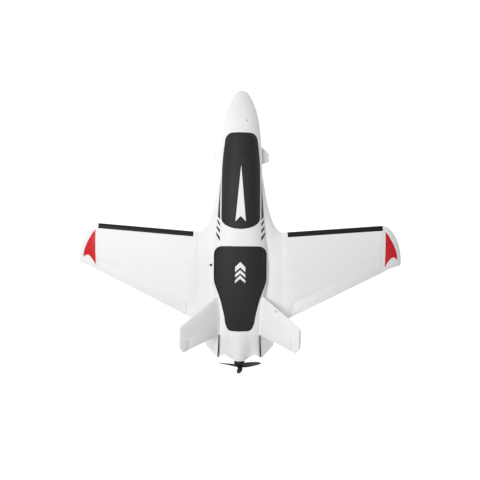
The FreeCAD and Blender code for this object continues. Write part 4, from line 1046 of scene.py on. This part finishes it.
def makeMotor():
    m = motor
    r, inner = m["radius"], m["radius"] - m["wall"]
    a, b, face, end = m["bellFrom"], m["bellTo"], m["face"], m["shaftEnd"]
    can = [(a, inner), (a, r - 0.2), (a + 0.3, r), (b - 3.6, r), (b - 3.3, r - 0.25),
           (b - 3.0, r), (b - 1.6, r), (b - 0.5, r - 0.6), (b, r - 1.9), (b, r - 2.6),
           (b - 1.6, r - 2.8), (b - 1.8, inner)]
    shaft = [(b - 2.6, 0.01), (b - 2.6, m["shaft"]), (end - 0.6, m["shaft"]),
             (end, m["shaft"] - 0.6), (end, 0.01)]
    hub = [(b - 2.2, m["shaft"]), (b - 2.2, 5.2), (b - 1.8, 5.8), (b - 0.4, 5.8), (b, 5.4),
           (b, m["shaft"])]
    parts = [turnedMesh(can), turnedMesh(hub)]
    parts += [wedge(2 * math.pi * i / m["spokes"] + math.pi / 6, (b - 1.9, b - 0.3),
                    ((5.0, 0.26), (r - 2.2, 0.13))) for i in range(m["spokes"])]
    joinedObject("motorCan", parts, "black_metal", "rotor", ("motor_bell",))
    joinedObject("motorShaft", [turnedMesh(shaft, 40)], "steel_wire", "rotor")
    magnets = [wedge(2 * math.pi * i / m["magnets"], (a + 0.4, b - 4.2),
                     ((inner - 0.9, 0.19), (inner + 0.05, 0.19))) for i in range(m["magnets"])]
    joinedObject("motorMagnets", magnets, "magnet", "rotor", smooth=30)
    base = [(face, 2.6), (face, 12.4), (face + 0.4, 12.9), (face + 2.0, 12.9),
            (face + 2.4, 12.2), (face + 2.4, 5.0), (face + 3.4, 4.2), (b - 4.0, 4.2),
            (b - 4.0, 2.6)]
    core, coils = [turnedMesh(base)], []
    for i in range(m["teeth"]):
        mid = 2 * math.pi * i / m["teeth"]
        tooth = [aboutShaft(radius, mid + w, station) for station in (face + 4.4, b - 5.2)
                 for radius, half in ((4.0, 0.13), (9.6, 0.07), (9.6, 0.22), (10.6, 0.22))
                 for w in (-half, half)]
        ring = [0, 2, 4, 6, 7, 5, 3, 1]
        faces = [tuple(reversed(ring)), tuple(8 + k for k in ring)]
        faces += [(ring[k], ring[(k + 1) % 8], 8 + ring[(k + 1) % 8], 8 + ring[k])
                  for k in range(8)]
        core.append((tooth, faces))
        coils += [coilLoop(mid, 5.6 + turn * 1.05, face + 3.9, b - 4.7) for turn in range(4)]
    joinedObject("motorCore", core, "stator_metal", stands=("motor_stator",))
    joinedObject("motorCoils", coils, "stator_metal", smooth=60, material=copperWire)


def coilLoop(mid, radius, first, last, wire=0.5):
    # one turn of wire round a stator tooth
    half = 0.85 / radius + 0.06
    corners = [(first, -half), (last, -half), (last, half), (first, half)]
    verts = []
    for k, (station, swing) in enumerate(corners):
        away = 1 if k in (1, 2) else -1
        wide = 1 if k in (2, 3) else -1
        for n in range(8):
            t = 2 * math.pi * n / 8
            spread = wire * math.cos(t) * 0.7
            verts.append(aboutShaft(radius + wire * math.sin(t),
                                    mid + swing + wide * spread / radius,
                                    station + away * spread))
    return verts, torusFaces(4, 8)


# hard pieces taken from their nodes
keel = {"inner": 54.4, "shift": 0.5, "from": 640, "to": 706, "share": [0.35, 0.9],
        "shorter": 0.04}
hardPieces = {
    "battery": ("battery", 0.0012, "battery_wrap"),
    "receiver": ("receiver", 0.0003, "receiver_case"),
    "speedController": ("speed_controller", 0.0006, "esc_wrap"),
    "batteryTray": ("battery_tray", 0.0003, "plywood"),
    "equipmentTray": ("equipment_tray", 0.0003, "plywood"),
    "batteryStrap": ("battery_strap", 0.0003, "strap_fabric"),
    "firewall": ("firewall", 0.0003, "plywood"), "propNut": ("prop_nut", 0.0003, "steel_wire"),
    "keelMounts": ("ventral_fin_mounts", 0.0004, "black_plastic"),
    "aileronServos": ("aileron_servos", 0.0004, "servo_case"),
    "ruddervatorServos": ("ruddervator_servos", 0.0003, "servo_case"),
}


def makeHardPieces():
    for name, (node, width, slot) in hardPieces.items():
        body = "rotor" if node == "prop_nut" else "airframe"
        made = softenedCopy(name, node, body, width, slot, 45)
        if name == "keelMounts":
            thinKeelMounts(made)


def thinKeelMounts(obj):
    # a thin wedge against the flank, thicker towards the rear
    for vertex in obj.data.vertices:
        x, station = vertex.co.x * 1000, vertex.co.y * 1000 + halfLength
        share = float(np.interp(station, [keel["from"], keel["to"]], keel["share"]))
        out = keel["inner"] - keel["shift"] + (abs(x) - keel["inner"]) * share
        vertex.co.x = math.copysign(out, x) / 1000
        if station > keel["from"]:
            vertex.co.y -= (station - keel["from"]) * keel["shorter"] / 1000


bay = {
    "seams": (208.0, 308.0), "seamHalf": 16.6, "seamZ": (44.95, 45.25),
    "plug": ((9.5, 311, 30), (16.5, 319, 33.4)),
    "leads": 6, "leadAt": (-28.5, 37.0), "leadStep": (7.6, 4.2),
    "fins": 8, "finStep": 2.4, "finBox": ((-9.5, 541, 42.9), (-8.4, 571, 44.3)),
    "socketAt": (76, 463, 79.6),
    "socket": [(0.0, 2.95), (0.0, 2.35), (-10.5, 2.35), (-10.5, 0.01), (-11.4, 0.01),
               (-11.4, 2.95)],
}


def makeBayDetails():
    # battery film seams, balance plug, servo plugs, cooling fins and the antenna hole's liner
    low, high = bay["seamZ"]
    seams = [boxParts((-bay["seamHalf"], s - 0.5, low), (bay["seamHalf"], s + 0.5, high))
             for s in bay["seams"]]
    joinedObject("batterySeams", seams, "wire_insulation", width=0.00012)
    joinedObject("balancePlug", [boxParts(*bay["plug"])], "white_nylon", width=0.0004)
    pins, sleeves = [], []
    for i in range(bay["leads"]):
        x = bay["leadAt"][0] + (i // 2) * bay["leadStep"][0]
        z = bay["leadAt"][1] + (i % 2) * bay["leadStep"][1]
        sleeves.append(boxParts((x - 1.3, 499.8, z - 1.2), (x + 3.9, 507.5, z + 1.4)))
        pins.append(boxParts((x + 0.6, 507.3, z - 0.3), (x + 2.0, 509.0, z + 0.3)))
    joinedObject("servoPlugs", sleeves, "wire_insulation", width=0.0003)
    joinedObject("servoLeadEnds", pins, "lead_insulation", width=0.0002)
    (x0, s0, z0), (x1, s1, z1) = bay["finBox"]
    fins = [boxParts((x0 + i * bay["finStep"], s0, z0), (x1 + i * bay["finStep"], s1, z1))
            for i in range(bay["fins"])]
    joinedObject("controllerSink", fins, "stator_metal", width=0.00015)
    cx, cs, cz = bay["socketAt"]
    turns = [2 * math.pi * j / 40 for j in range(40)]
    verts = [place(cx + r * math.cos(t), cs + r * math.sin(t), cz + z)
             for z, r in bay["socket"] for t in turns]
    joinedObject("antennaSocket", [(verts, torusFaces(len(bay["socket"]), 40))],
                 "black_plastic")


def makeFloor():
    h, z = light["floorHalf"], -light["floorDrop"]
    mesh = bpy.data.meshes.new("floor")
    mesh.from_pydata([(-h, -h, z), (h, -h, z), (h, h, z), (-h, h, z)], [], [(0, 1, 2, 3)])
    made, _, shader = newMaterial("paleFloor")
    shader.inputs["Base Color"].default_value = (light["floorShade"],) * 3 + (1,)
    shader.inputs["Roughness"].default_value = 0.9
    shader.inputs["Emission Color"].default_value = (1, 1, 1, 1)
    shader.inputs["Emission Strength"].default_value = light["floorGlow"]
    mesh.materials.append(made)
    addObject("floor", mesh)


makeCamera()
makeLights()
paintNodes()
print("stage: materials")
makeFuselage()
print("stage: fuselage")
makeFoamPieces()
print("stage: foam pieces")
makePropeller()
makeMotor()
makeHardPieces()
makeBayDetails()
print("stage: hard pieces")
makeMarks()
print("stage: marks")
makeFloor()
print("stage: done")
